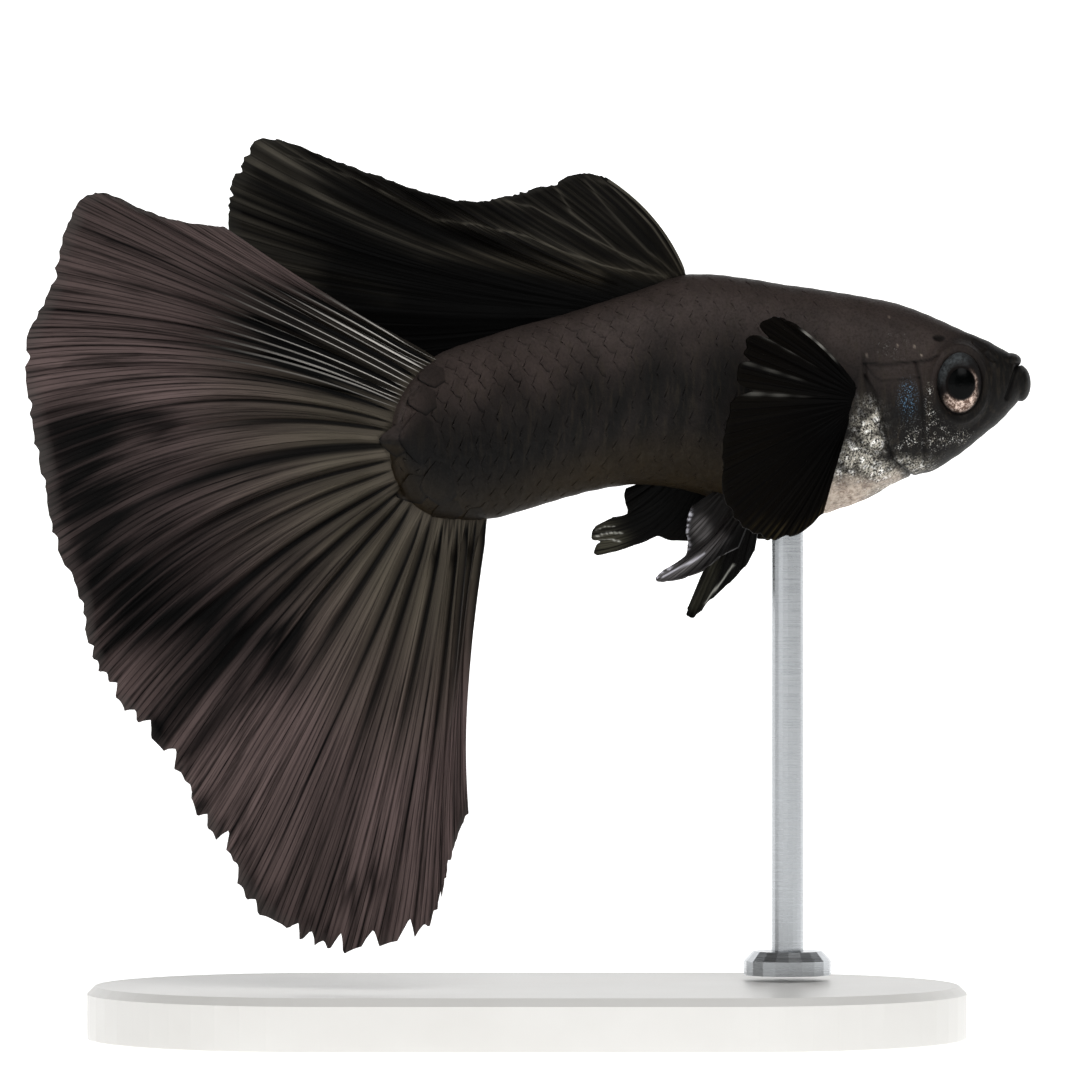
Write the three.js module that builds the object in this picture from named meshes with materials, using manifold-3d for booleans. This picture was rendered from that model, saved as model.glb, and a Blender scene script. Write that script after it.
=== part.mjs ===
// A male fancy guppy, all black with a great fan of a tail, life size and still.
// It is a museum model on a plain stand.
// It swims level with its head towards +X and its right flank towards -Y, and its tail is swung round towards -Y.
// Millimetres, +Z up. The origin is the centre of the stand base's underside.
import * as THREE from "three";
import { mergeVertices } from "three/addons/utils/BufferGeometryUtils.js";
import Module from "manifold-3d";

const wasm = await Module();
wasm.setup();

// Driving dimensions
const GAP = 0.3; // left between pieces that touch
const BODY_LENGTH = 36; // along the backbone, snout tip to the end of the scaled tail root
const SNOUT_X = 25.4;
const MIDPLANE_Y = 4; // the plane of the head and chest
const BEND_START = 13.35; // along the backbone, where the tail starts to swing
const BEND_RADIUS = 21.9; // of the backbone, seen from above
const MEMBRANE = 0.5; // thickness of a fin between its rays
const RIDGE = 0.15; // height of a ray above the membrane, on each face
const TIP_SHARE = 0.4; // of a ray's height is left at the rim
const STEP = 0.004; // fine step along a fin's surface, as a share of it
const FURTHEST_START = 0.9; // share of a ray that the body may swallow at most
const RIDGE_START = 0.2; // share of a ray's length over which it rises out of the membrane

const BASE_LENGTH = 44;
const BASE_WIDTH = 24;
const BASE_HEIGHT = 3;
const BASE_EDGE = 0.4; // bevel
const BASE_CURVE_SIDES = 14; // of each round end
const ROD_RADIUS = 0.8;
const ROD_SIDES = 20;
const ROD_X = 13.15;
const ROD_TOP = 28; // inside the belly, before the body is cut away
const COLLAR_RADIUS = 2.2;
const COLLAR_HEIGHT = 1.2;
const COLLAR_SHOULDER = { radius: 0.8, height: 0.6 }; // shares, where its bevel starts and ends

// Body outline by distance from the snout: [distance, back z, belly z, half width]
const STATIONS = [
  [0.1, 33.65, 32.95, 0.35],
  [0.31, 34.0, 32.6, 0.9],
  [0.91, 34.6, 31.9, 1.4],
  [1.52, 34.95, 31.25, 1.7],
  [2.13, 35.3, 30.75, 1.95],
  [3.34, 35.8, 29.75, 2.2],
  [4.55, 36.35, 29.0, 2.45],
  [5.76, 36.85, 28.6, 2.6],
  [6.97, 37.25, 28.05, 2.7],
  [8.2, 37.5, 27.35, 2.8],
  [9.4, 37.7, 26.9, 2.9],
  [10.6, 37.9, 26.55, 3.0],
  [12.4, 38.15, 26.4, 3.05],
  [14.25, 38.45, 26.85, 3.0],
  [16.0, 38.65, 27.35, 2.85],
  [17.6, 38.6, 27.8, 2.7],
  [19.8, 37.85, 28.05, 2.45],
  [22.0, 37.15, 27.8, 2.2],
  [24.2, 36.5, 27.3, 2.0],
  [26.5, 35.95, 26.7, 1.8],
  [28.5, 35.4, 26.3, 1.6],
  [31.8, 34.45, 26.35, 1.25],
  [33.9, 33.25, 27.0, 0.95],
  [35.3, 31.75, 28.3, 0.65],
  [BODY_LENGTH, 30.35, 29.85, 0.3],
];
const BELLY_SHARE = 0.48; // of the depth lies below the widest line
const BACK_SQUARENESS = 2.3;
const BELLY_SQUARENESS = 2.1;
const RINGS = 44;
const RING_POINTS = 28;
const RING_EVENNESS = 0.45; // 1 spaces the rings evenly, 0 crowds them at both ends

// Splines

// The value of a smooth curve through evenly spaced rows of numbers, at a share from 0 to 1.
function along(rows, share) {
  const last = rows.length - 1;
  const place = Math.min(Math.max(share, 0), 1) * last;
  const i = Math.min(Math.floor(place), last - 1);
  const t = place - i;
  const before = rows[Math.max(i - 1, 0)];
  const after = rows[Math.min(i + 2, last)];
  return rows[i].map((from, k) => {
    const to = rows[i + 1][k];
    const inward = (to - before[k]) / 2;
    const outward = (after[k] - from) / 2;
    const bend = 3 * (to - from) - 2 * inward - outward;
    return from + inward * t + bend * t * t + (inward + outward - 2 * (to - from)) * t * t * t;
  });
}

// The same through rows whose first number is their place.
function atPlace(rows, place) {
  const last = rows.length - 1;
  const at = Math.min(Math.max(place, rows[0][0]), rows[last][0]);
  let i = 0;
  while (i < last - 1 && rows[i + 1][0] < at) i += 1;
  const from = rows[i];
  const to = rows[i + 1];
  const before = rows[Math.max(i - 1, 0)];
  const after = rows[Math.min(i + 2, last)];
  const span = to[0] - from[0];
  const t = (at - from[0]) / span;
  return from.slice(1).map((value, k) => {
    const rise = to[k + 1] - value;
    const inward = (span * (to[k + 1] - before[k + 1])) / (to[0] - before[0]);
    const outward = (span * (after[k + 1] - value)) / (after[0] - from[0]);
    const bend = 3 * rise - 2 * inward - outward;
    return value + inward * t + bend * t * t + (inward + outward - 2 * rise) * t * t * t;
  });
}

// Backbone

// A point of the backbone seen from above, with the way to the tail and the way to the right flank.
function backbone(distance) {
  const turn = Math.max(distance - BEND_START, 0) / BEND_RADIUS;
  const straight = Math.min(distance, BEND_START);
  return {
    x: SNOUT_X - straight - BEND_RADIUS * Math.sin(turn),
    y: MIDPLANE_Y - BEND_RADIUS * (1 - Math.cos(turn)),
    tailward: new THREE.Vector3(-Math.cos(turn), -Math.sin(turn), 0),
    rightward: new THREE.Vector3(Math.sin(turn), -Math.cos(turn), 0),
  };
}

// Solids

// A closed mesh from points and triangles, as a solid.
function solidFrom(points, triangles) {
  const mesh = new wasm.Mesh({
    numProp: 3,
    vertProperties: new Float32Array(points.flatMap((p) => [p.x, p.y, p.z])),
    triVerts: new Uint32Array(triangles),
  });
  return new wasm.Manifold(mesh);
}

function solidOf(geometry) {
  const bare = geometry.clone();
  for (const name of ["normal", "uv"]) bare.deleteAttribute(name);
  const merged = mergeVertices(bare, 1e-4);
  const mesh = new wasm.Mesh({
    numProp: 3,
    vertProperties: new Float32Array(merged.attributes.position.array),
    triVerts: new Uint32Array(merged.index.array),
  });
  return new wasm.Manifold(mesh);
}

function largest(solid) {
  return solid.decompose().reduce((best, one) => (one.volume() > best.volume() ? one : best));
}

function ellipsoid(centre, radii, around = 20, down = 12) {
  const geometry = new THREE.SphereGeometry(1, around, down);
  geometry.scale(...radii);
  geometry.translate(...centre);
  return solidOf(geometry);
}

// An outline of [x, z] points, extruded from one y to another.
function sideways(outline, fromY, toY) {
  const shape = new THREE.Shape(outline.map(([x, z]) => new THREE.Vector2(x, z)));
  const geometry = new THREE.ExtrudeGeometry(shape, { depth: toY - fromY, bevelEnabled: false });
  geometry.rotateX(Math.PI / 2);
  geometry.translate(0, toY, 0);
  return solidOf(geometry);
}

// Body

// The body's section at a distance from the snout, swollen all round by a margin.
function section(distance, margin) {
  const [back, belly, halfWidth] = atPlace(STATIONS, distance);
  const widest = belly + BELLY_SHARE * (back - belly);
  return {
    widest,
    reach: halfWidth + margin,
    above: back - widest + margin,
    below: widest - belly + margin,
  };
}

const squareness = (up) => (up > 0 ? BACK_SQUARENESS : BELLY_SQUARENESS);
const signedPower = (value, power) => Math.sign(value) * Math.abs(value) ** power;
const BODY_START = STATIONS[0][0];
const BODY_SPAN = BODY_LENGTH - BODY_START;

// One loft of rings along the backbone. A swollen body's rings also spread out a little towards both ends.
function bodySolid(margin) {
  const points = [];
  const triangles = [];
  for (let i = 0; i < RINGS; i += 1) {
    const share = i / (RINGS - 1);
    const crowded = 0.5 - 0.5 * Math.cos(Math.PI * share);
    const eased = RING_EVENNESS * share + (1 - RING_EVENNESS) * crowded;
    const ring = section(BODY_START + BODY_SPAN * eased, margin);
    const spine = backbone(BODY_START + BODY_SPAN * eased + margin * (2 * eased - 1));
    for (let j = 0; j < RING_POINTS; j += 1) {
      const angle = (2 * Math.PI * j) / RING_POINTS;
      const up = Math.sin(angle);
      const power = 2 / squareness(up);
      const reach = signedPower(Math.cos(angle), power) * ring.reach;
      const rise = signedPower(up, power) * (up > 0 ? ring.above : ring.below);
      const x = spine.x + spine.rightward.x * reach;
      const y = spine.y + spine.rightward.y * reach;
      points.push(new THREE.Vector3(x, y, ring.widest + rise));
    }
  }
  for (let i = 0; i < RINGS - 1; i += 1) {
    for (let j = 0; j < RING_POINTS; j += 1) {
      const a = i * RING_POINTS + j;
      const b = i * RING_POINTS + ((j + 1) % RING_POINTS);
      const c = a + RING_POINTS;
      const d = b + RING_POINTS;
      triangles.push(a, b, d, a, d, c);
    }
  }
  for (const [ring, facesSnout] of [[0, true], [RINGS - 1, false]]) {
    const first = ring * RING_POINTS;
    const centre = points.length;
    const middle = new THREE.Vector3();
    for (let j = 0; j < RING_POINTS; j += 1) middle.addScaledVector(points[first + j], 1 / RING_POINTS);
    points.push(middle);
    for (let j = 0; j < RING_POINTS; j += 1) {
      const a = first + j;
      const b = first + ((j + 1) % RING_POINTS);
      triangles.push(...(facesSnout ? [centre, b, a] : [centre, a, b]));
    }
  }
  return solidFrom(points, triangles);
}

// Whether a point lies inside the swollen body.
function insideBody(point, margin) {
  const bendX = SNOUT_X - BEND_START;
  const bendY = MIDPLANE_Y - BEND_RADIUS;
  let spread = SNOUT_X - point.x;
  let offset = MIDPLANE_Y - point.y;
  if (point.x < bendX) {
    spread = BEND_START + BEND_RADIUS * Math.atan2(bendX - point.x, point.y - bendY);
    offset = BEND_RADIUS - Math.hypot(point.x - bendX, point.y - bendY);
  }
  const stretch = (2 * margin) / BODY_SPAN;
  const distance = (spread + margin + stretch * BODY_START) / (1 + stretch);
  if (distance < BODY_START || distance > BODY_LENGTH) return false;
  const ring = section(distance, margin);
  const rise = point.z - ring.widest;
  const power = squareness(rise);
  const height = rise > 0 ? ring.above : ring.below;
  return Math.abs(offset / ring.reach) ** power + Math.abs(rise / height) ** power < 1;
}

// Head details
const EYE_CENTRE_X = 22.2;
const EYE_CENTRE_Z = 32.85;
const EYE_OFFSET = 1.6; // from the midplane
const EYE_RADII = [1.5, 0.95, 1.55];
const EYE_GAP = 0.22;
const LIP_CENTRE = [24.93, MIDPLANE_Y, 33.15];
const LIP_RADII = [0.5, 1.15, 0.9];
const UPPER_LIP_CENTRE = [24.4, MIDPLANE_Y, 34.3];
const UPPER_LIP_RADII = [0.55, 1.3, 0.4];
const MOUTH_WIDTH = 0.22;
const MOUTH_LINE = [[25.1, 34.9], [24.72, 34.1], [24.35, 33.2], [24.0, 32.3]];
const MOUTH_REACH = 2.2; // to each side of the midplane
const NOSTRIL = { x: 23.3, z: 34.75, offset: 1.2, radius: 0.22 };
const GILL_LINE = [
  [16.3, 39.5],
  [16.5, 36],
  [16.9, 33.2],
  [17.4, 31.8],
  [17.9, 30.2],
  [18.7, 29.1],
  [20.2, 27.6],
  [21, 26],
];
const GILL_REACH = 8; // to each side of the midplane, clear of the body
const COVER = { x: 17.4, z: 31.15, length: 2.55, height: 2.2, squareness: 3, inner: 1.85, outer: 4 };
const COVER_POINTS = 28;
const TAIL_CUT = 24.4; // along the backbone, just behind the vent
const TAIL_CUTTER = { width: 12, height: 20, z: 32 };
const CRUMB = 5; // cubic millimetres: anything smaller is an offcut

// A thin wall that follows a line of [x, z] points, across the whole body.
function wallAlong(line, width, reach) {
  const front = line.map(([x, z]) => [x + width / 2, z]);
  const rear = line.map(([x, z]) => [x - width / 2, z]).reverse();
  return sideways([...front, ...rear], MIDPLANE_Y - reach, MIDPLANE_Y + reach);
}

// The block that a gill cover is taken from, on the side that the sign gives, grown by a margin.
function coverBlock(side, margin) {
  const outline = [];
  const power = 2 / COVER.squareness;
  for (let k = 0; k < COVER_POINTS; k += 1) {
    const angle = (2 * Math.PI * k) / COVER_POINTS;
    outline.push([
      COVER.x + signedPower(Math.cos(angle), power) * (COVER.length + margin),
      COVER.z + signedPower(Math.sin(angle), power) * (COVER.height + margin),
    ]);
  }
  const inner = MIDPLANE_Y + side * (COVER.inner - margin);
  const outer = MIDPLANE_Y + side * COVER.outer;
  return sideways(outline, Math.min(inner, outer), Math.max(inner, outer));
}

function eye(side, margin) {
  const centre = [EYE_CENTRE_X, MIDPLANE_Y + side * EYE_OFFSET, EYE_CENTRE_Z];
  return ellipsoid(centre, EYE_RADII.map((r) => r + margin), 20, 10);
}

function tailCutter() {
  const spine = backbone(TAIL_CUT);
  const geometry = new THREE.BoxGeometry(GAP, TAIL_CUTTER.width, TAIL_CUTTER.height);
  geometry.rotateZ(Math.atan2(spine.tailward.y, spine.tailward.x));
  geometry.translate(spine.x, spine.y, TAIL_CUTTER.z);
  return solidOf(geometry);
}

// The body parted into head, trunk and tail root, in that order, with the gill covers taken out of the head.
function bodyPieces() {
  let body = bodySolid(0)
    .add(ellipsoid(LIP_CENTRE, LIP_RADII))
    .add(ellipsoid(UPPER_LIP_CENTRE, UPPER_LIP_RADII));
  body = body.subtract(wallAlong(MOUTH_LINE, MOUTH_WIDTH, MOUTH_REACH));
  for (const side of [-1, 1]) {
    body = body.subtract(eye(side, EYE_GAP));
    const nostril = [NOSTRIL.x, MIDPLANE_Y + side * NOSTRIL.offset, NOSTRIL.z];
    body = body.subtract(ellipsoid(nostril, [NOSTRIL.radius, NOSTRIL.radius, NOSTRIL.radius], 8, 6));
  }
  body = body.subtract(wallAlong(GILL_LINE, GAP, GILL_REACH)).subtract(tailCutter());
  const pieces = body
    .decompose()
    .filter((piece) => piece.volume() > CRUMB)
    .sort((a, b) => b.boundingBox().max[0] - a.boundingBox().max[0]);
  const [wholeHead, trunk, tailRoot] = pieces;
  let head = wholeHead;
  const covers = {};
  for (const side of [-1, 1]) {
    covers[side] = largest(wholeHead.intersect(coverBlock(side, 0)));
    head = head.subtract(coverBlock(side, GAP));
  }
  return { head: largest(head), trunk, tailRoot, covers };
}

// Fins

// A fin's middle surface: each ray runs from the root line to the rim line.
// It is bowed in its own plane and billowed across it.
// Rim rows are [x, y, z, bow]. A root row is [x, y, z].
function fanSurface(root, rim, billow) {
  return (u, v) => {
    const [rx, ry, rz] = along(root, u);
    const [tx, ty, tz, bow] = along(rim, u);
    const length = Math.hypot(tx - rx, tz - rz);
    const arch = (4 * v * (1 - v) * bow) / length;
    return new THREE.Vector3(
      rx + (tx - rx) * v + (tz - rz) * arch,
      ry + (ty - ry) * v + billow(u, v),
      rz + (tz - rz) * v - (tx - rx) * arch,
    );
  };
}

// A closed sheet on a middle surface, ridged along its rays, with triangles alike on both faces.
// Each ray starts where it comes clear of the body's skin by the gap.
function finSolid({ surface, rays, rows, notch }) {
  const columns = 2 * rays - 1;
  const faces = [[], []];

  function bothFaces(u, v, onRay) {
    const point = surface(u, v);
    const overU = surface(Math.min(u + STEP, 1), v).sub(surface(Math.max(u - STEP, 0), v));
    const overV = surface(u, Math.min(v + STEP, 1)).sub(surface(u, Math.max(v - STEP, 0)));
    const normal = overU.cross(overV).normalize();
    const ridge = onRay ? RIDGE * Math.min(v / RIDGE_START, 1) * (1 - (1 - TIP_SHARE) * v) : 0;
    const half = MEMBRANE / 2 + ridge;
    return [half, -half].map((offset) => point.clone().addScaledVector(normal, offset));
  }

  function clearOfBody(u) {
    let v = 0;
    while (v < FURTHEST_START && bothFaces(u, v, false).some((point) => insideBody(point, GAP))) v += STEP;
    return v;
  }

  const starts = Array.from({ length: columns }, (_, j) => clearOfBody(j / (columns - 1)));
  for (let i = 0; i <= rows; i += 1) {
    for (let j = 0; j < columns; j += 1) {
      const u = j / (columns - 1);
      const onRay = j % 2 === 0;
      const end = onRay ? 1 : 1 - notch(u);
      const v = starts[j] + (i / rows) * (end - starts[j]);
      bothFaces(u, v, onRay).forEach((point, k) => faces[k].push(point));
    }
  }
  const points = [...faces[0], ...faces[1]];
  const behind = faces[0].length;
  const at = (i, j) => i * columns + j;
  const triangles = [];
  const quad = (a, b, c, d) => triangles.push(a, b, c, a, c, d);
  for (let i = 0; i < rows; i += 1) {
    for (let j = 0; j < columns - 1; j += 1) {
      const [a, b, c, d] = [at(i, j), at(i, j + 1), at(i + 1, j + 1), at(i + 1, j)];
      if (j % 2 === 0) {
        triangles.push(a, b, c, a, c, d);
        triangles.push(a + behind, c + behind, b + behind, a + behind, d + behind, c + behind);
      } else {
        triangles.push(a, b, d, b, c, d);
        triangles.push(a + behind, d + behind, b + behind, b + behind, d + behind, c + behind);
      }
    }
  }
  const edges = [];
  for (let j = 0; j < columns - 1; j += 1) {
    edges.push([at(0, j + 1), at(0, j)], [at(rows, j), at(rows, j + 1)]);
  }
  for (let i = 0; i < rows; i += 1) {
    edges.push([at(i, 0), at(i + 1, 0)], [at(i + 1, columns - 1), at(i, columns - 1)]);
  }
  for (const [a, b] of edges) quad(a, b, b + behind, a + behind);
  const made = solidFrom(points, triangles);
  return made.volume() > 0 ? made : solidFrom(points, flipped(triangles));
}

function flipped(triangles) {
  return triangles.map((_, k) => triangles[k - (k % 3) + [0, 2, 1][k % 3]]);
}

// A root line on the backbone's own plane, from rows of [distance, z].
function rootOnBackbone(rows) {
  return rows.map(([distance, z]) => {
    const spine = backbone(distance);
    return [spine.x, spine.y, z];
  });
}

// Tail fin: rays from the rounded tail root, from the short upper lobe round to the lower corner
const CAUDAL_RAYS = 39;
const CAUDAL_ROWS = 13;
const CAUDAL_ROOT = [[31.7, 34.1], [34.2, 32.4], [35.4, 30.3], [34.5, 28.1], [32.2, 26.7], [28.6, 26.6]];
const CAUDAL_RIM = [
  [-14.8, -5.6, 40.6, -0.2],
  [-18.2, -5.6, 41.2, -0.1],
  [-21.5, -5.5, 42.4, 0.0],
  [-23.0, -5.3, 40.8, 0.3],
  [-23.8, -5.0, 37.6, 0.8],
  [-24.8, -4.8, 34.9, 1.2],
  [-24.7, -4.6, 31.7, 1.5],
  [-24.0, -4.4, 28.7, 1.6],
  [-23.6, -4.4, 25.7, 1.5],
  [-22.3, -4.5, 22.3, 1.4],
  [-21.7, -4.6, 19.1, 1.3],
  [-20.0, -4.7, 16.4, 1.0],
  [-17.5, -4.8, 13.4, 0.5],
  [-15.8, -5.0, 10.5, 0.0],
  [-14.2, -5.2, 7.7, -0.2],
  [-11.7, -5.4, 5.0, -0.2],
  [-8.7, -5.6, 4.2, -0.3],
  [-5.0, -5.5, 5.5, 0.05],
  [-3.8, -5.2, 9.3, 0.4],
  [-2.9, -4.8, 11.8, 0.55],
];
const CAUDAL_SWING = 2.2; // how far the fin goes on towards the viewer before it trails back
const CAUDAL_SWING_AT = 0.3; // share of the ray where it is furthest
const CAUDAL_LEVEL_POWER = 0.7; // how evenly the upper rays share the swing
const CAUDAL_FOLDS = 3.4;
const CAUDAL_FOLD_START = 0.1; // share of a fold
const CAUDAL_FOLD_DEPTH = 1.0;
const CAUDAL_FOLD_POWER = 1.5; // how late the folds deepen towards the rim
const CAUDAL_NOTCH = 0.018;

function caudalBillow(u, v) {
  const level = Math.cos(0.5 * Math.PI * u) ** CAUDAL_LEVEL_POWER;
  const swing = (v / CAUDAL_SWING_AT) * Math.exp(1 - v / CAUDAL_SWING_AT);
  const fold = Math.sin(2 * Math.PI * (CAUDAL_FOLDS * u + CAUDAL_FOLD_START)) * v ** CAUDAL_FOLD_POWER;
  return -CAUDAL_SWING * level * swing - CAUDAL_FOLD_DEPTH * fold;
}

// Dorsal fin: a short root on the back, and rays swept back to a broad raised end
const DORSAL_RAYS = 12;
const DORSAL_ROWS = 11;
const DORSAL_ROOT = [[17.3, 38.3], [18.9, 37.7], [20.5, 37.1], [22.1, 36.5]];
const DORSAL_RIM = [
  [4.0, 3.2, 43.5, 0.6],
  [2.7, 3.4, 43.8, 0.4],
  [0.9, 3.7, 43.2, 0.1],
  [-1.1, 4.0, 42.7, -0.1],
  [-3.1, 4.4, 42.4, -0.3],
  [-5.9, 4.9, 43.1, -0.5],
  [-9.2, 5.4, 44.3, -0.6],
  [-13.5, 5.9, 45.8, -0.7],
  [-15.1, 5.9, 43.9, -0.7],
  [-15.5, 5.7, 41.7, -0.6],
  [-14.3, 5.3, 38.7, -0.4],
  [-8.7, 4.4, 34.0, -0.5],
];
const DORSAL_FOLDS = 1.7;
const DORSAL_FOLD_START = 0.15;
const DORSAL_FOLD_DEPTH = 0.6;
const DORSAL_NOTCH = 0.02;

function dorsalBillow(u, v) {
  return DORSAL_FOLD_DEPTH * Math.sin(2 * Math.PI * (DORSAL_FOLDS * u + DORSAL_FOLD_START)) * v;
}

// Pectoral fins: a small upright root behind the gill cover, upper rays parted like fingers, and a broad lower web
const PECTORAL_RAYS = 11;
const PECTORAL_ROWS = 7;
const PECTORAL_ROOT = [[16.6, 1.2, 32.8], [16.2, 1.2, 32.3], [15.75, 1.2, 31.8], [15.3, 1.2, 31.4]];
const PECTORAL_RIM = [
  [13.5, -1.1, 35.9, 0.2],
  [12.2, -1.3, 36.45, 0.15],
  [11.1, -1.6, 35.8, 0.1],
  [10.5, -1.9, 34.6, 0.0],
  [10.2, -2.1, 33.0, 0.0],
  [9.9, -2.3, 31.1, 0.0],
  [9.6, -2.4, 29.3, 0.0],
  [9.6, -2.5, 27.6, 0.0],
  [10.2, -2.5, 26.3, 0.0],
  [11.2, -2.5, 25.5, -0.1],
  [12.3, -2.4, 25.2, -0.2],
  [13.6, -2.2, 25.5, -0.3],
  [14.7, -1.9, 26.5, -0.5],
];
const PECTORAL_WEB_START = 0.36; // share of the fan that is parted like fingers
const PECTORAL_FINGERS = 0.06; // notch depth between the upper rays
const PECTORAL_NOTCH = 0.03;
const PECTORAL_CUP = 0.35;
const PECTORAL_WAVES = 3;
const PECTORAL_WAVE_HEIGHT = 0.25;

function pectoralBillow(u, v) {
  const wave = PECTORAL_WAVE_HEIGHT * v * Math.sin(2 * Math.PI * PECTORAL_WAVES * u);
  return -PECTORAL_CUP * Math.sin(Math.PI * v) + wave;
}

function pectoralNotch(u) {
  return u < PECTORAL_WEB_START ? PECTORAL_FINGERS : PECTORAL_NOTCH;
}

// Pelvic fins: the right one a broad web drawn out behind, the left one a long blade pointing down
const PELVIC_ROWS = 6;
const RIGHT_PELVIC_RAYS = 8;
const LEFT_PELVIC_RAYS = 7;
const RIGHT_PELVIC_ROOT = [[9.8, 3.0, 27.9], [10.8, 3.0, 27.8], [11.8, 3.0, 27.7]];
const RIGHT_PELVIC_RIM = [
  [8.1, 2.3, 26.5, 0.0],
  [7.75, 2.1, 25.6, 0.0],
  [7.55, 1.9, 24.95, 0.0],
  [6.4, 1.6, 23.2, -0.15],
  [7.5, 1.6, 23.0, -0.15],
  [8.8, 1.7, 23.6, 0.0],
  [9.8, 1.8, 24.2, 0.0],
  [10.5, 1.9, 24.9, 0.0],
];
const LEFT_PELVIC_ROOT = [[10.0, 4.9, 27.9], [11.0, 4.9, 27.8], [12.0, 4.9, 27.7]];
const LEFT_PELVIC_RIM = [
  [8.6, 5.6, 25.0, 0.0],
  [8.3, 5.8, 23.5, 0.0],
  [8.1, 6.0, 21.3, -0.1],
  [8.9, 6.0, 21.6, -0.2],
  [10.1, 5.9, 22.7, -0.2],
  [11.1, 5.8, 23.7, -0.15],
  [11.75, 5.6, 24.9, -0.1],
];

// Gonopodium, the male's anal fin: a stout rod swept back with a short web behind it
const GONOPODIUM_RAYS = 8;
const GONOPODIUM_ROWS = 6;
const GONOPODIUM_ROOT = [[16.0, 27.9], [17.2, 28.2], [18.6, 28.5]];
const GONOPODIUM_RIM = [
  [8.8, 3.6, 25.5, 0.0],
  [7.2, 3.6, 25.2, 0.0],
  [5.2, 3.6, 24.9, 0.0],
  [3.1, 3.6, 24.5, 0.0],
  [3.3, 3.6, 25.2, 0.0],
  [3.9, 3.6, 25.9, 0.0],
  [4.75, 3.6, 27.0, 0.0],
  [4.85, 3.6, 27.9, 0.0],
];

const SMALL_FIN_NOTCH = 0.03;
const plainNotch = () => SMALL_FIN_NOTCH;
const still = () => 0;

// Stand: a plate with round ends, and one rod on a collar, up to the belly
function standBase() {
  const radius = BASE_WIDTH / 2 - BASE_EDGE;
  const straight = BASE_LENGTH / 2 - BASE_WIDTH / 2;
  const shape = new THREE.Shape();
  shape.absarc(straight, 0, radius, -Math.PI / 2, Math.PI / 2);
  shape.absarc(-straight, 0, radius, Math.PI / 2, (3 * Math.PI) / 2);
  const geometry = new THREE.ExtrudeGeometry(shape, {
    depth: BASE_HEIGHT - 2 * BASE_EDGE,
    bevelThickness: BASE_EDGE,
    bevelSize: BASE_EDGE,
    bevelSegments: 1,
    curveSegments: BASE_CURVE_SIDES,
  });
  geometry.translate(0, 0, BASE_EDGE);
  return solidOf(geometry);
}

function standRod(swollenBody) {
  const foot = BASE_HEIGHT + GAP;
  const profile = [
    [0, foot],
    [COLLAR_RADIUS, foot],
    [COLLAR_RADIUS, foot + COLLAR_SHOULDER.height * COLLAR_HEIGHT],
    [COLLAR_SHOULDER.radius * COLLAR_RADIUS, foot + COLLAR_HEIGHT],
    [ROD_RADIUS, foot + COLLAR_HEIGHT],
    [ROD_RADIUS, ROD_TOP],
    [0, ROD_TOP],
  ].map(([r, z]) => new THREE.Vector2(r, z));
  const geometry = new THREE.LatheGeometry(profile, ROD_SIDES);
  geometry.rotateX(Math.PI / 2);
  geometry.translate(ROD_X, MIDPLANE_Y, 0);
  return largest(solidOf(geometry).subtract(swollenBody));
}

// Finishes
function finish(color, roughness, metalness = 0) {
  return new THREE.MeshStandardMaterial({ color, roughness, metalness });
}

const FINISHES = {
  skin: finish(0x3a3432, 0.45),
  gill: finish(0x45423f, 0.35, 0.2),
  fin: finish(0x3b3436, 0.5),
  eye: finish(0x0c0d0e, 0.08),
  rod: finish(0xb9bcc0, 0.25, 1),
  base: finish(0xd9d8d4, 0.5),
};

// Assembly
const guppy = new THREE.Group();

function addNode(name, solid, material) {
  const made = solid.getMesh();
  const geometry = new THREE.BufferGeometry();
  geometry.setAttribute("position", new THREE.BufferAttribute(made.vertProperties, 3));
  geometry.setIndex(new THREE.BufferAttribute(made.triVerts, 1));
  geometry.computeVertexNormals();
  const mesh = new THREE.Mesh(geometry, material);
  mesh.name = name;
  guppy.add(mesh);
}

const swollenBody = bodySolid(GAP);
const pieces = bodyPieces();
addNode("head", pieces.head, FINISHES.skin);
addNode("trunk", pieces.trunk, FINISHES.skin);
addNode("tail_root", pieces.tailRoot, FINISHES.skin);
addNode("gill_cover_right", pieces.covers[-1], FINISHES.gill);
addNode("gill_cover_left", pieces.covers[1], FINISHES.gill);
addNode("eye_right", eye(-1, 0), FINISHES.eye);
addNode("eye_left", eye(1, 0), FINISHES.eye);

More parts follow.
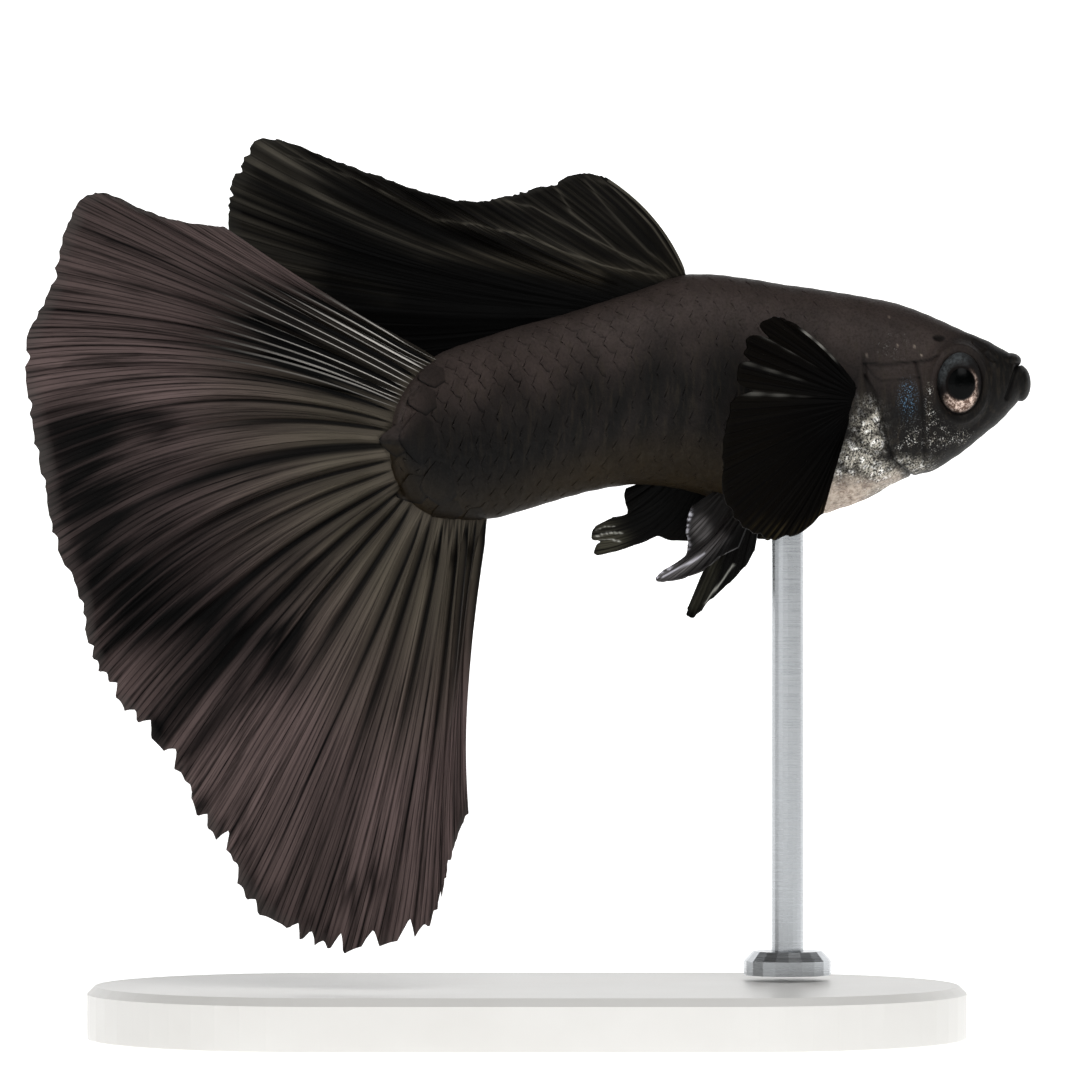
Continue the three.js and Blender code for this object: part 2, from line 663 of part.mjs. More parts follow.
const mirrored = (rows) => rows.map(([x, y, ...rest]) => [x, 2 * MIDPLANE_Y - y, ...rest]);
const FINS = {
  caudal_fin: {
    surface: fanSurface(rootOnBackbone(CAUDAL_ROOT), CAUDAL_RIM, caudalBillow),
    rays: CAUDAL_RAYS,
    rows: CAUDAL_ROWS,
    notch: () => CAUDAL_NOTCH,
  },
  dorsal_fin: {
    surface: fanSurface(rootOnBackbone(DORSAL_ROOT), DORSAL_RIM, dorsalBillow),
    rays: DORSAL_RAYS,
    rows: DORSAL_ROWS,
    notch: () => DORSAL_NOTCH,
  },
  pectoral_fin_right: {
    surface: fanSurface(PECTORAL_ROOT, PECTORAL_RIM, pectoralBillow),
    rays: PECTORAL_RAYS,
    rows: PECTORAL_ROWS,
    notch: pectoralNotch,
  },
  pectoral_fin_left: {
    surface: fanSurface(mirrored(PECTORAL_ROOT), mirrored(PECTORAL_RIM), (u, v) => -pectoralBillow(u, v)),
    rays: PECTORAL_RAYS,
    rows: PECTORAL_ROWS,
    notch: pectoralNotch,
  },
  pelvic_fin_right: {
    surface: fanSurface(RIGHT_PELVIC_ROOT, RIGHT_PELVIC_RIM, still),
    rays: RIGHT_PELVIC_RAYS,
    rows: PELVIC_ROWS,
    notch: plainNotch,
  },
  pelvic_fin_left: {
    surface: fanSurface(LEFT_PELVIC_ROOT, LEFT_PELVIC_RIM, still),
    rays: LEFT_PELVIC_RAYS,
    rows: PELVIC_ROWS,
    notch: plainNotch,
  },
  gonopodium: {
    surface: fanSurface(rootOnBackbone(GONOPODIUM_ROOT), GONOPODIUM_RIM, still),
    rays: GONOPODIUM_RAYS,
    rows: GONOPODIUM_ROWS,
    notch: plainNotch,
  },
};
for (const [name, fin] of Object.entries(FINS)) {
  addNode(name, finSolid(fin), FINISHES.fin);
}

addNode("stand_rod", standRod(swollenBody), FINISHES.rod);
addNode("stand_base", standBase(), FINISHES.base);

export default guppy;
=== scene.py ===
import math

import bpy
import numpy as np
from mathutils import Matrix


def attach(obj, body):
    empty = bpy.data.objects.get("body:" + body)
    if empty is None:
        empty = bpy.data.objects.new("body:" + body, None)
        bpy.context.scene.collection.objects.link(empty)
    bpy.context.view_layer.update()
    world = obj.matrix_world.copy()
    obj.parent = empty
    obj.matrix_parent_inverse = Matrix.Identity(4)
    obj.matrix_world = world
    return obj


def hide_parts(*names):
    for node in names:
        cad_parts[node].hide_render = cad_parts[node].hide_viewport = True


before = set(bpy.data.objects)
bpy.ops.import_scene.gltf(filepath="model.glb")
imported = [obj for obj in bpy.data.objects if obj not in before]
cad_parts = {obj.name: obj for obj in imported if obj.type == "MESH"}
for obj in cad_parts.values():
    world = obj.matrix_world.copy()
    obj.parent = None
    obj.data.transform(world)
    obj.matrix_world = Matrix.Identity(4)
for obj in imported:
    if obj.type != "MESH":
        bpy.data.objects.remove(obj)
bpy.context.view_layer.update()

# A fancy guppy, life size, head to the right, on a small display stand.
# All sizes below are in millimetres, in the same frame as the part's source.
MM = 0.001
chance = np.random.default_rng(7)

# Backbone: straight behind the head, then a steady turn to the right towards the tail.
SNOUT_X = 25.4
MIDPLANE_Y = 4.0
BEND_START = 13.35
BEND_RADIUS = 21.9
BODY_LENGTH = 36.0
BELLY_SHARE = 0.48
BACK_SQUARENESS = 2.3
BELLY_SQUARENESS = 2.1

# Each station: distance from the snout, height of the back, height of the belly, half width.
STATIONS = np.array([
    [0.1, 33.65, 32.95, 0.35],
    [0.31, 34.0, 32.6, 0.9],
    [0.91, 34.6, 31.9, 1.4],
    [1.52, 34.95, 31.25, 1.7],
    [2.13, 35.3, 30.75, 1.95],
    [3.34, 35.8, 29.75, 2.2],
    [4.55, 36.35, 29.0, 2.45],
    [5.76, 36.85, 28.6, 2.6],
    [6.97, 37.25, 28.05, 2.7],
    [8.2, 37.5, 27.35, 2.8],
    [9.4, 37.7, 26.9, 2.9],
    [10.6, 37.9, 26.55, 3.0],
    [12.4, 38.15, 26.4, 3.05],
    [14.25, 38.45, 26.85, 3.0],
    [16.0, 38.65, 27.35, 2.85],
    [17.6, 38.6, 27.8, 2.7],
    [19.8, 37.85, 28.05, 2.45],
    [22.0, 37.15, 27.8, 2.2],
    [24.2, 36.5, 27.3, 2.0],
    [26.5, 35.95, 26.7, 1.8],
    [28.5, 35.4, 26.3, 1.6],
    [31.8, 34.45, 26.35, 1.25],
    [33.9, 33.25, 27.0, 0.95],
    [35.3, 31.75, 28.3, 0.65],
    [36.0, 30.35, 29.85, 0.3],
])

# The eye, seen from the flank: centre and the radii of the ball.
EYE_X = 21.72
EYE_Z = 33.1
EYE_OUT = 1.62
EYE_RADII = (1.18, 0.92, 1.62)

# The lips: centre and radii of the oval that swells each of them.
LOWER_LIP = np.array([[24.93, 4, 33.15], [0.5, 1.15, 0.9]])
UPPER_LIP = np.array([[24.4, 4, 34.3], [0.55, 1.3, 0.4]])
NOSE_TIP = 0.1
HEAD_REACH = 10

# Lines on the flank, as x and z pairs.
GILL_LINE = [
    [16.95, 33.5],
    [17.4, 32.6],
    [17.75, 31.4],
    [18.0, 30.2],
    [18.4, 29.3],
    [19.1, 28.75],
    [19.6, 28.4],
]
CHEEK_LINE = [[19.5, 34.2], [19.72, 33.4], [19.84, 32.4], [19.9, 31.3], [19.84, 30.2], [20.0, 29.3]]
BROW_LINE = [
    [16.9, 34.1],
    [17.3, 34.12],
    [17.85, 34.08],
    [18.65, 34.14],
    [19.45, 34.2],
    [20.15, 34.28],
    [20.6, 34.5],
]
PLATE_LINE = [
    [17.0, 34.0],
    [17.25, 33.65],
    [17.45, 33.42],
    [17.85, 33.2],
    [18.5, 33.28],
    [19.2, 33.36],
    [19.7, 33.42],
]
NAPE_LINE = [[16.85, 34.5], [16.95, 33.6], [17.05, 32.7]]
MOUTH_LINE = [[25.0, 34.3], [24.66, 33.95], [24.42, 33.2], [24.16, 32.4]]
SHOULDER_LINE = [[14.2, 33.9], [15.2, 34.4], [16.6, 33.8], [16.4, 32.8], [15.6, 32.6]]
CHEST_LINE = [[17.2, 32.3], [17.35, 30.2], [16.4, 28.9], [16.0, 28.0]]
FRONT_PIT = [[22.5, 35.25], [23.0, 34.9]]
NOSE_PIT = [[23.2, 34.55], [23.5, 34.3]]
# The edge of the gill cover, from its lowest point up: heights and the x at each.
GILL_HEIGHTS = [28.4, 28.75, 29.3, 30.2, 31.4, 32.6, 33.4]
GILL_EDGE = [19.6, 19.1, 18.4, 18.0, 17.75, 17.4, 16.95]
# Grooves of the head: depth, width and line.
HEAD_GROOVES = [
    (0.1, 0.09, GILL_LINE),
    (0.09, 0.08, CHEEK_LINE),
    (0.11, 0.08, BROW_LINE),
    (0.06, 0.06, PLATE_LINE),
    (0.05, 0.07, NAPE_LINE),
    (0.22, 0.1, MOUTH_LINE),
    (0.12, 0.1, FRONT_PIT),
    (0.12, 0.1, NOSE_PIT),
]
# Colour strokes: strength, width and line. The dark strokes are painted shade in the head's grooves, slits
# and pits, with one more along the shoulder.
DARK_STROKES = [
    (0.6, 0.09, GILL_LINE),
    (0.8, 0.06, BROW_LINE),
    (0.6, 0.07, CHEEK_LINE),
    (0.6, 0.05, PLATE_LINE),
    (0.95, 0.08, MOUTH_LINE),
    (0.6, 0.1, FRONT_PIT),
    (0.6, 0.1, NOSE_PIT),
    (0.4, 0.07, NAPE_LINE),
    (0.35, 0.06, SHOULDER_LINE),
]
GLINT_STROKES = [(1.0, 0.2, [[20.15, 33.0], [20.2, 31.4], [20.45, 29.9]])]
NAPE_BEADS = [[18.2, 36.45], [17.05, 34.5], [18.6, 35.0], [19.45, 34.95], [19.8, 34.5]]
CREAM_STROKES = [(0.6, 0.3, [[16.5, 27.6], [18.6, 28.4]])]
CREAM_STROKES += [(0.6, 0.045, [[x, z], [x, z + 0.03]]) for x, z in NAPE_BEADS]
# Colour spots: strength, x and z of the centre, radii and softness. The dark spots are painted shade, in the
# pit above the eye and where the tail root turns away.
DARK_SPOTS = [(0.85, 20.7, 35.4, 0.33, 0.16, 0.25), (0.6, -3.0, 28.6, 2.6, 2.1, 1.2)]
CREAM_SPOTS = [(1.0, 15.2, 26.9, 2.1, 1.0, 0.6), (0.5, 16.2, 28.0, 1.0, 0.5, 0.6)]
GLINT_SPOTS = [
    (1.0, 19.1, 32.4, 0.45, 0.85, 0.5),
    (0.8, 19.3, 30.0, 0.65, 1.2, 0.6),
    (0.6, 21.9, 30.4, 0.7, 0.4, 0.6),
    (0.7, 20.7, 30.4, 0.5, 0.9, 0.6),
    (0.16, 18.5, 35.0, 0.7, 0.6, 0.9),
]


# Splines and the body's surface
def at_place(rows, place):
    """A smooth curve through rows whose first number is their place."""
    last = len(rows) - 1
    at = np.clip(place, rows[0, 0], rows[last, 0])
    i = np.clip(np.searchsorted(rows[:, 0], at, side="left") - 1, 0, last - 1)
    start, end = rows[i], rows[i + 1]
    before, after = rows[np.maximum(i - 1, 0)], rows[np.minimum(i + 2, last)]
    span = end[..., :1] - start[..., :1]
    t = (at[..., None] - start[..., :1]) / span
    rise = end[..., 1:] - start[..., 1:]
    inward = span * (end[..., 1:] - before[..., 1:]) / (end[..., :1] - before[..., :1])
    outward = span * (after[..., 1:] - start[..., 1:]) / (after[..., :1] - start[..., :1])
    bend = 3 * rise - 2 * inward - outward
    return start[..., 1:] + inward * t + bend * t**2 + (inward + outward - 2 * rise) * t**3


def along(rows, share):
    """A smooth curve through evenly spaced rows, at a share from 0 to 1."""
    last = len(rows) - 1
    place = np.clip(share, 0, 1) * last
    i = np.minimum(np.floor(place).astype(int), last - 1)
    t = (place - i)[..., None]
    start, end = rows[i], rows[i + 1]
    before, after = rows[np.maximum(i - 1, 0)], rows[np.minimum(i + 2, last)]
    inward, outward = (end - before) / 2, (after - start) / 2
    bend = 3 * (end - start) - 2 * inward - outward
    return start + inward * t + bend * t**2 + (inward + outward - 2 * (end - start)) * t**3


def backbone(distance):
    """The backbone's x and y, and the way to the right flank, at a distance from the snout."""
    turn = np.maximum(distance - BEND_START, 0) / BEND_RADIUS
    straight = np.minimum(distance, BEND_START)
    x = SNOUT_X - straight - BEND_RADIUS * np.sin(turn)
    y = MIDPLANE_Y - BEND_RADIUS * (1 - np.cos(turn))
    return x, y, np.sin(turn), -np.cos(turn)


def signed_power(value, power):
    return np.sign(value) * np.abs(value) ** power


def body_point(distance, angle, margin=0.0, shrink=1.0):
    """A point of the skin. Angle 0 is the right flank and a quarter turn is the back."""
    back, belly, half = np.moveaxis(at_place(STATIONS, distance), -1, 0)
    widest = belly + BELLY_SHARE * (back - belly)
    upward = np.sin(angle) >= 0
    power = np.where(upward, 2 / BACK_SQUARENESS, 2 / BELLY_SQUARENESS)
    reach = signed_power(np.cos(angle), power) * (half + margin) * shrink
    tall = np.where(upward, back - widest, widest - belly) + margin
    rise = signed_power(np.sin(angle), power) * tall * shrink
    x, y, rx, ry = backbone(distance)
    return np.stack([x + rx * reach, y + ry * reach, widest + rise], axis=-1)


def crossing(first, second):
    """The unit normal from two tangents."""
    normal = np.cross(first, second)
    size = np.linalg.norm(normal, axis=-1, keepdims=True)
    return normal / np.maximum(size, 1e-9)


# Masks that place markings and relief by their x and z on the flank
def from_line(x, z, line):
    """The distance from a line of x and z pairs."""
    nearest = np.full(np.shape(x), 1e9)
    for (ax, az), (bx, bz) in zip(line[:-1], line[1:]):
        dx, dz = bx - ax, bz - az
        t = np.clip(((x - ax) * dx + (z - az) * dz) / (dx * dx + dz * dz), 0, 1)
        nearest = np.minimum(nearest, np.hypot(x - ax - dx * t, z - az - dz * t))
    return nearest


def stroke(x, z, line, width):
    """A soft stroke along a line: 1 on it, and fading over its width."""
    return np.exp(-((from_line(x, z, line) / width) ** 2))


def spot(x, z, centre_x, centre_z, radius_x, radius_z, soft=0.25):
    """A soft oval: 1 inside and 0 outside."""
    r = np.hypot((x - centre_x) / radius_x, (z - centre_z) / radius_z)
    return 1 / (1 + np.exp((r - 1) / soft * 4))


def smooth(low, high, value):
    t = np.clip((value - low) / (high - low), 0, 1)
    return t * t * (3 - 2 * t)


# Mesh work
def lone():
    """Nothing stays selected."""
    if bpy.context.object and bpy.context.object.mode != "OBJECT":
        bpy.ops.object.mode_set(mode="OBJECT")
    bpy.ops.object.select_all(action="DESELECT")


def chosen(piece):
    lone()
    piece.select_set(True)
    bpy.context.view_layer.objects.active = piece


def named(name):
    piece = bpy.context.object
    piece.name = name
    piece.data.name = name
    return piece


def grid(name, across, outward):
    """A flat grid, whose points give a share across and a share outward."""
    lone()
    bpy.ops.mesh.primitive_grid_add(x_subdivisions=across, y_subdivisions=outward, size=1)
    piece = named(name)
    flat = points_of(piece)
    return piece, np.clip(flat[:, 0] + 0.5, 0, 1), np.clip(flat[:, 1] + 0.5, 0, 1)


def points_of(piece):
    flat = np.empty(len(piece.data.vertices) * 3)
    piece.data.vertices.foreach_get("co", flat)
    return flat.reshape(-1, 3)


def place(piece, points):
    """Moves the piece's points to their places, given in millimetres."""
    piece.data.vertices.foreach_set("co", (points * MM).ravel())
    piece.data.update()


def mark(piece, name, values):
    """Keeps one number for each point, which the material reads."""
    attribute = piece.data.attributes.new(name, "FLOAT", "POINT")
    attribute.data.foreach_set("value", np.asarray(values, dtype=np.float32).ravel())


def tidy(piece):
    """Merges points that lie on each other and turns the faces outwards."""
    chosen(piece)
    bpy.ops.object.mode_set(mode="EDIT")
    bpy.ops.mesh.select_all(action="SELECT")
    bpy.ops.mesh.remove_doubles(threshold=1e-6)
    bpy.ops.mesh.dissolve_degenerate(threshold=1e-7)
    bpy.ops.mesh.normals_make_consistent(inside=False)
    bpy.ops.object.mode_set(mode="OBJECT")


def thicken(piece, thickness):
    """Gives a sheet its thickness to both sides and closes its edge."""
    chosen(piece)
    wall = piece.modifiers.new("wall", "SOLIDIFY")
    wall.thickness = thickness * MM
    wall.offset = 0
    wall.use_even_offset = False
    bpy.ops.object.modifier_apply(modifier="wall")


def smoothed(piece, degrees):
    chosen(piece)
    bpy.ops.object.shade_smooth_by_angle(angle=math.radians(degrees))


def finished(piece, material, nodes=()):
    piece.data.materials.clear()
    piece.data.materials.append(material)
    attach(piece, "root")
    if nodes:
        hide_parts(*nodes)


# Materials
def linear(hex_colour):
    """An sRGB hex colour as the linear colour that a shader takes."""
    parts = [int(hex_colour[i : i + 2], 16) / 255 for i in (1, 3, 5)]
    return tuple(p / 12.92 if p <= 0.04045 else ((p + 0.055) / 1.055) ** 2.4 for p in parts) + (1.0,)


def add_node(tree, kind, values, output=0):
    """Adds one node with its settings and links, and gives one of its outputs."""
    made = tree.nodes.new("ShaderNode" + kind)
    for key, value in values.items():
        if isinstance(value, bpy.types.NodeSocket):
            tree.links.new(value, made.inputs[key])
        elif isinstance(key, str) and hasattr(made, key):
            setattr(made, key, value)
        elif isinstance(value, str):
            made.inputs[key].default_value = linear(value)
        else:
            made.inputs[key].default_value = value
    return made.outputs[output] if made.outputs else None


def new_material(name):
    material = bpy.data.materials.new(name)
    material.use_nodes = True
    material.node_tree.nodes.clear()
    return material, material.node_tree


def per_mm(size):
    """The scale of a noise whose grains are about this size in millimetres."""
    return 1 / (size * MM)


def skin_material():
    """Fish skin under a wet coat of clear slime: near black, with a soft gloss."""
    material, tree = new_material("slime_coated_black_fish_skin")
    back, belly, chest, glint, cool, dark, edge, cream = [
        add_node(tree, "Attribute", {"attribute_name": name}, "Fac")
        for name in ("back", "belly", "chest", "glint", "cool", "dark", "edge", "cream")
    ]
    at = add_node(tree, "TexCoord", {}, "Object")
    # real pigment cells are about 0.05 mm, and are drawn as grains of 0.12 mm so that they show
    fine, cloud, grain, patchy, patch, clump, flake, flash, mottle = [
        add_node(
            tree, "TexNoise", {"Vector": at, "Scale": per_mm(size), "Detail": detail, "Roughness": rough}
        )
        for size, detail, rough in (
            (0.12, 3.0, 0.6),
            (1.5, 3.0, 0.5),
            (0.1, 2.0, 0.75),
            (0.45, 2.0, 0.6),
            (0.75, 3.0, 0.6),
            (0.6, 2.0, 0.7),
            (0.07, 2.0, 0.7),
            (0.3, 2.0, 0.6),
            (0.3, 3.0, 0.7),
        )
    ]
    # upright streaks on the flank, 0.22 mm apart
    upright = add_node(tree, "Mapping", {"Vector": at, "Scale": (1.0, 1.0, 0.14)})
    streak = add_node(
        tree, "TexNoise", {"Vector": upright, "Scale": per_mm(0.22), "Detail": 3.0, "Roughness": 0.65}
    )
    # the back mark: the back's mauve-brown tone, lightened by painted light from above
    colour = add_node(tree, "Mix", {"data_type": "RGBA", 0: back, 6: "#11100f", 7: "#3f3633"}, 2)
    colour = add_node(tree, "Mix", {"data_type": "RGBA", 0: belly, 6: colour, 7: "#251d10"}, 2)
    for pattern, low, high, most, hue in (
        (streak, 0.5, 0.68, 0.45, "#332d25"),
        (cloud, 0.3, 0.75, 0.4, "#0e0c0b"),
        (fine, 0.45, 0.75, 0.4, "#070606"),
    ):
        share = add_node(
            tree, "MapRange", {"Value": pattern, "From Min": low, "From Max": high, "To Max": most}
        )
        colour = add_node(tree, "Mix", {"data_type": "RGBA", 0: share, 6: colour, 7: hue}, 2)
    # silver grains of about 0.1 mm, close together in the chest patch
    many = add_node(
        tree, "MapRange", {"Value": patch, "From Min": 0.4, "From Max": 0.58, "To Min": 0.25, "To Max": 1.9}
    )
    many = add_node(tree, "Math", {"operation": "MULTIPLY", 0: chest, 1: many})
    silver = add_node(tree, "MapRange", {"Value": grain, "From Min": 0.4, "From Max": 0.62})
    silver = add_node(tree, "Math", {"operation": "MULTIPLY", "use_clamp": True, 0: silver, 1: many})
    # silver flakes of about 0.07 mm, scattered in clumps on the cheek and dense in the blue patch
    clump = add_node(
        tree, "MapRange", {"Value": clump, "From Min": 0.44, "From Max": 0.64, "To Min": 0.02, "To Max": 1.1}
    )
    dense = add_node(tree, "Math", {"operation": "MULTIPLY", 0: cool, 1: 0.8})
    clump = add_node(tree, "Math", {"operation": "MAXIMUM", 0: clump, 1: dense})
    flakes = add_node(tree, "MapRange", {"Value": flake, "From Min": 0.56, "From Max": 0.66})
    flakes = add_node(tree, "Math", {"operation": "MULTIPLY", 0: flakes, 1: glint})
    flakes = add_node(tree, "Math", {"operation": "MULTIPLY", "use_clamp": True, 0: flakes, 1: clump})
    shine = add_node(tree, "Math", {"operation": "MAXIMUM", "use_clamp": True, 0: silver, 1: flakes})
    # the brightest silver grains, in clumps of about 0.3 mm, turn near white: painted glints
    flash = add_node(tree, "MapRange", {"Value": flash, "From Min": 0.52, "From Max": 0.62})
    metal = add_node(tree, "Mix", {"data_type": "RGBA", 0: flash, 6: "#b3aea2", 7: "#fffdf8"}, 2)
    metal = add_node(tree, "Mix", {"data_type": "RGBA", 0: cool, 6: metal, 7: "#668cab"}, 2)
    colour = add_node(tree, "Mix", {"data_type": "RGBA", 0: shine, 6: colour, 7: metal}, 2)
    # the cream skin of the throat, mottled every 0.3 mm
    soft = add_node(tree, "MapRange", {"Value": patchy, "From Min": 0.25, "From Max": 0.6, "To Min": 0.6})
    soft = add_node(tree, "Math", {"operation": "MULTIPLY", "use_clamp": True, 0: cream, 1: soft})
    mottle = add_node(tree, "MapRange", {"Value": mottle, "From Min": 0.42, "From Max": 0.66})
    mottled = add_node(tree, "Mix", {"data_type": "RGBA", 0: mottle, 6: "#c4b6a8", 7: "#7a695c"}, 2)
    colour = add_node(tree, "Mix", {"data_type": "RGBA", 0: soft, 6: colour, 7: mottled}, 2)
    # painted shade from the dark mark, in the head's grooves and pits and on the turning tail root
    colour = add_node(tree, "Mix", {"data_type": "RGBA", 0: dark, 6: colour, 7: "#040303"}, 2)
    # painted shade from the edge mark, under the free edges of the scales and at the edges of the tail root's
    # leaves
    colour = add_node(tree, "Mix", {"data_type": "RGBA", 0: edge, 6: colour, 7: "#050404"}, 2)
    rough = add_node(
        tree, "MapRange", {"Value": fine, "From Min": 0.3, "From Max": 0.7, "To Min": 0.42, "To Max": 0.62}
    )
    metallic = add_node(tree, "Math", {"operation": "MULTIPLY", 0: shine, 1: 0.15})
    grainy = add_node(tree, "Math", {"operation": "MULTIPLY", 0: grain, 1: 0.6})
    height = add_node(tree, "Math", {"operation": "ADD", 0: fine, 1: grainy})
    bump = add_node(tree, "Bump", {"Strength": 0.35, "Distance": 0.03 * MM, "Height": height})
    shader = add_node(tree, "BsdfPrincipled", {
        "Base Color": colour,
        "Metallic": metallic,
        "Roughness": rough,
        "IOR": 1.4,
        "Specular IOR Level": 0.13,
        "Normal": bump,
    })
    add_node(tree, "OutputMaterial", {"Surface": shader})
    return material


def fin_material(name, pale, warm, deep, line, bright, rays, edge, gloss, bare_rays=False):
    """Fin membrane stretched on bony rays: near matt, with fine streaks that follow the forking rays."""
    material, tree = new_material(name)
    across, outward, light, fold, white = [
        add_node(tree, "Attribute", {"attribute_name": mark_name}, "Fac")
        for mark_name in ("across", "outward", "light", "fold", "white")
    ]
    # streaks that run with the rays, about three between two rays, and broader ones over two rays
    slow = add_node(tree, "Math", {"operation": "MULTIPLY", 0: outward, 1: 0.012})
    run = add_node(tree, "CombineXYZ", {0: across, 1: slow})
    streak, broad = [
        add_node(tree, "TexNoise", {"Vector": run, "Scale": scale, "Detail": detail, "Roughness": rough})
        for scale, detail, rough in ((rays * 3.0, 6.0, 0.72), (rays * 0.45, 2.0, 0.5))
    ]
    # rays that wander a little and fork twice on their way out
    at = add_node(tree, "TexCoord", {}, "Object")
    wander = add_node(tree, "TexNoise", {"Vector": at, "Scale": per_mm(6.0), "Detail": 0.0})
    wander = add_node(tree, "Math", {"operation": "MULTIPLY", 0: wander, 1: 0.004})
    bent = add_node(tree, "Math", {"operation": "ADD", 0: across, 1: wander})
    lines = 0.0
    for count, begin, end in ((rays * 4, 0.5, 0.75), (rays * 2, 0.25, 0.45), (rays, -1.0, 0.0)):
        wave = add_node(tree, "Math", {"operation": "MULTIPLY", 0: bent, 1: float(count)})
        wave = add_node(tree, "Math", {"operation": "PINGPONG", 0: wave, 1: 0.5})
        thin = add_node(tree, "MapRange", {"Value": wave, "From Min": 0.1, "From Max": 0.03})
        begun = add_node(tree, "MapRange", {"Value": outward, "From Min": begin, "From Max": end})
        tier = add_node(tree, "Math", {"operation": "MULTIPLY", 0: thin, 1: begun})
        lines = add_node(tree, "Math", {"operation": "MAXIMUM", 0: tier, 1: lines})
    share = add_node(tree, "MapRange", {"Value": outward, "From Min": 0.2, "From Max": 0.6})
    membrane = add_node(tree, "Mix", {"data_type": "RGBA", 0: share, 6: warm, 7: pale}, 2)
    # the light mark lifts the deep colour to the membrane's: painted highlights on the blades and glossy
    # folds, and the paler zones of each fin
    colour = add_node(tree, "Mix", {"data_type": "RGBA", 0: light, 6: deep, 7: membrane}, 2)
    share = add_node(tree, "MapRange", {"Value": broad, "From Min": 0.45, "From Max": 0.65, "To Max": 0.4})
    colour = add_node(tree, "Mix", {"data_type": "RGBA", 0: share, 6: colour, 7: deep}, 2)
    # the streaks and lines are faint on the smooth blades near the root
    further = add_node(tree, "MapRange", {"Value": outward, "From Min": 0.08, "From Max": 0.4, "To Min": 0.3})
    fine = add_node(tree, "MapRange", {"Value": streak, "From Min": 0.45, "From Max": 0.62, "To Max": 0.8})
    fine = add_node(tree, "Math", {"operation": "MULTIPLY", 0: fine, 1: further})
    colour = add_node(tree, "Mix", {"data_type": "RGBA", 0: fine, 6: colour, 7: line}, 2)
    drawn = add_node(tree, "MapRange", {"Value": streak, "From Min": 0.3, "From Max": 0.65, "To Min": 0.2})
    drawn = add_node(tree, "Math", {"operation": "MULTIPLY", 0: lines, 1: drawn})
    drawn = add_node(tree, "Math", {"operation": "MULTIPLY", 0: drawn, 1: further})
    colour = add_node(tree, "Mix", {"data_type": "RGBA", 0: drawn, 6: colour, 7: "#050404"}, 2)
    # the fold mark: painted shade in the folds, hollows and blade grooves of the tail and back fins, with the
    # tail's dark pigment bands, and the dark zones of the other fins
    colour = add_node(tree, "Mix", {"data_type": "RGBA", 0: fold, 6: colour, 7: "#030303"}, 2)
    # the white mark: thin bright lines, most of them painted glints and highlight lines, and the pale bare
    # rays of the tail fin
    if bare_rays:
        crest = add_node(tree, "Math", {"operation": "MULTIPLY", 0: bent, 1: float(rays)})
        crest = add_node(tree, "Math", {"operation": "PINGPONG", 0: crest, 1: 0.5})
        crest = add_node(tree, "MapRange", {"Value": crest, "From Min": 0.41, "From Max": 0.48})
        white = add_node(tree, "Math", {"operation": "MULTIPLY", 0: white, 1: crest})
    colour = add_node(tree, "Mix", {"data_type": "RGBA", 0: white, 6: colour, 7: bright}, 2)
    # a thin rim in the rim colour, stronger in some places than in others
    last = add_node(tree, "MapRange", {"Value": outward, "From Min": 0.95, "From Max": 0.985})
    rim_share = add_node(
        tree, "MapRange", {"Value": broad, "From Min": 0.35, "From Max": 0.6, "To Min": 0.1, "To Max": 0.6}
    )
    rim = add_node(tree, "Math", {"operation": "MULTIPLY", 0: last, 1: rim_share})
    colour = add_node(tree, "Mix", {"data_type": "RGBA", 0: rim, 6: colour, 7: edge}, 2)
    rough = add_node(
        tree, "MapRange", {"Value": streak, "From Min": 0.3, "From Max": 0.7, "To Min": 0.38, "To Max": 0.58}
    )
    height = add_node(tree, "Math", {"operation": "SUBTRACT", 0: streak, 1: lines})
    bump = add_node(tree, "Bump", {"Strength": 0.5, "Distance": 0.06 * MM, "Height": height})
    shader = add_node(tree, "BsdfPrincipled", {
        "Base Color": colour,
        "Roughness": rough,
        "IOR": 1.4,
        "Specular IOR Level": gloss,
        "Normal": bump,
    })
    add_node(tree, "OutputMaterial", {"Surface": shader})
    return material


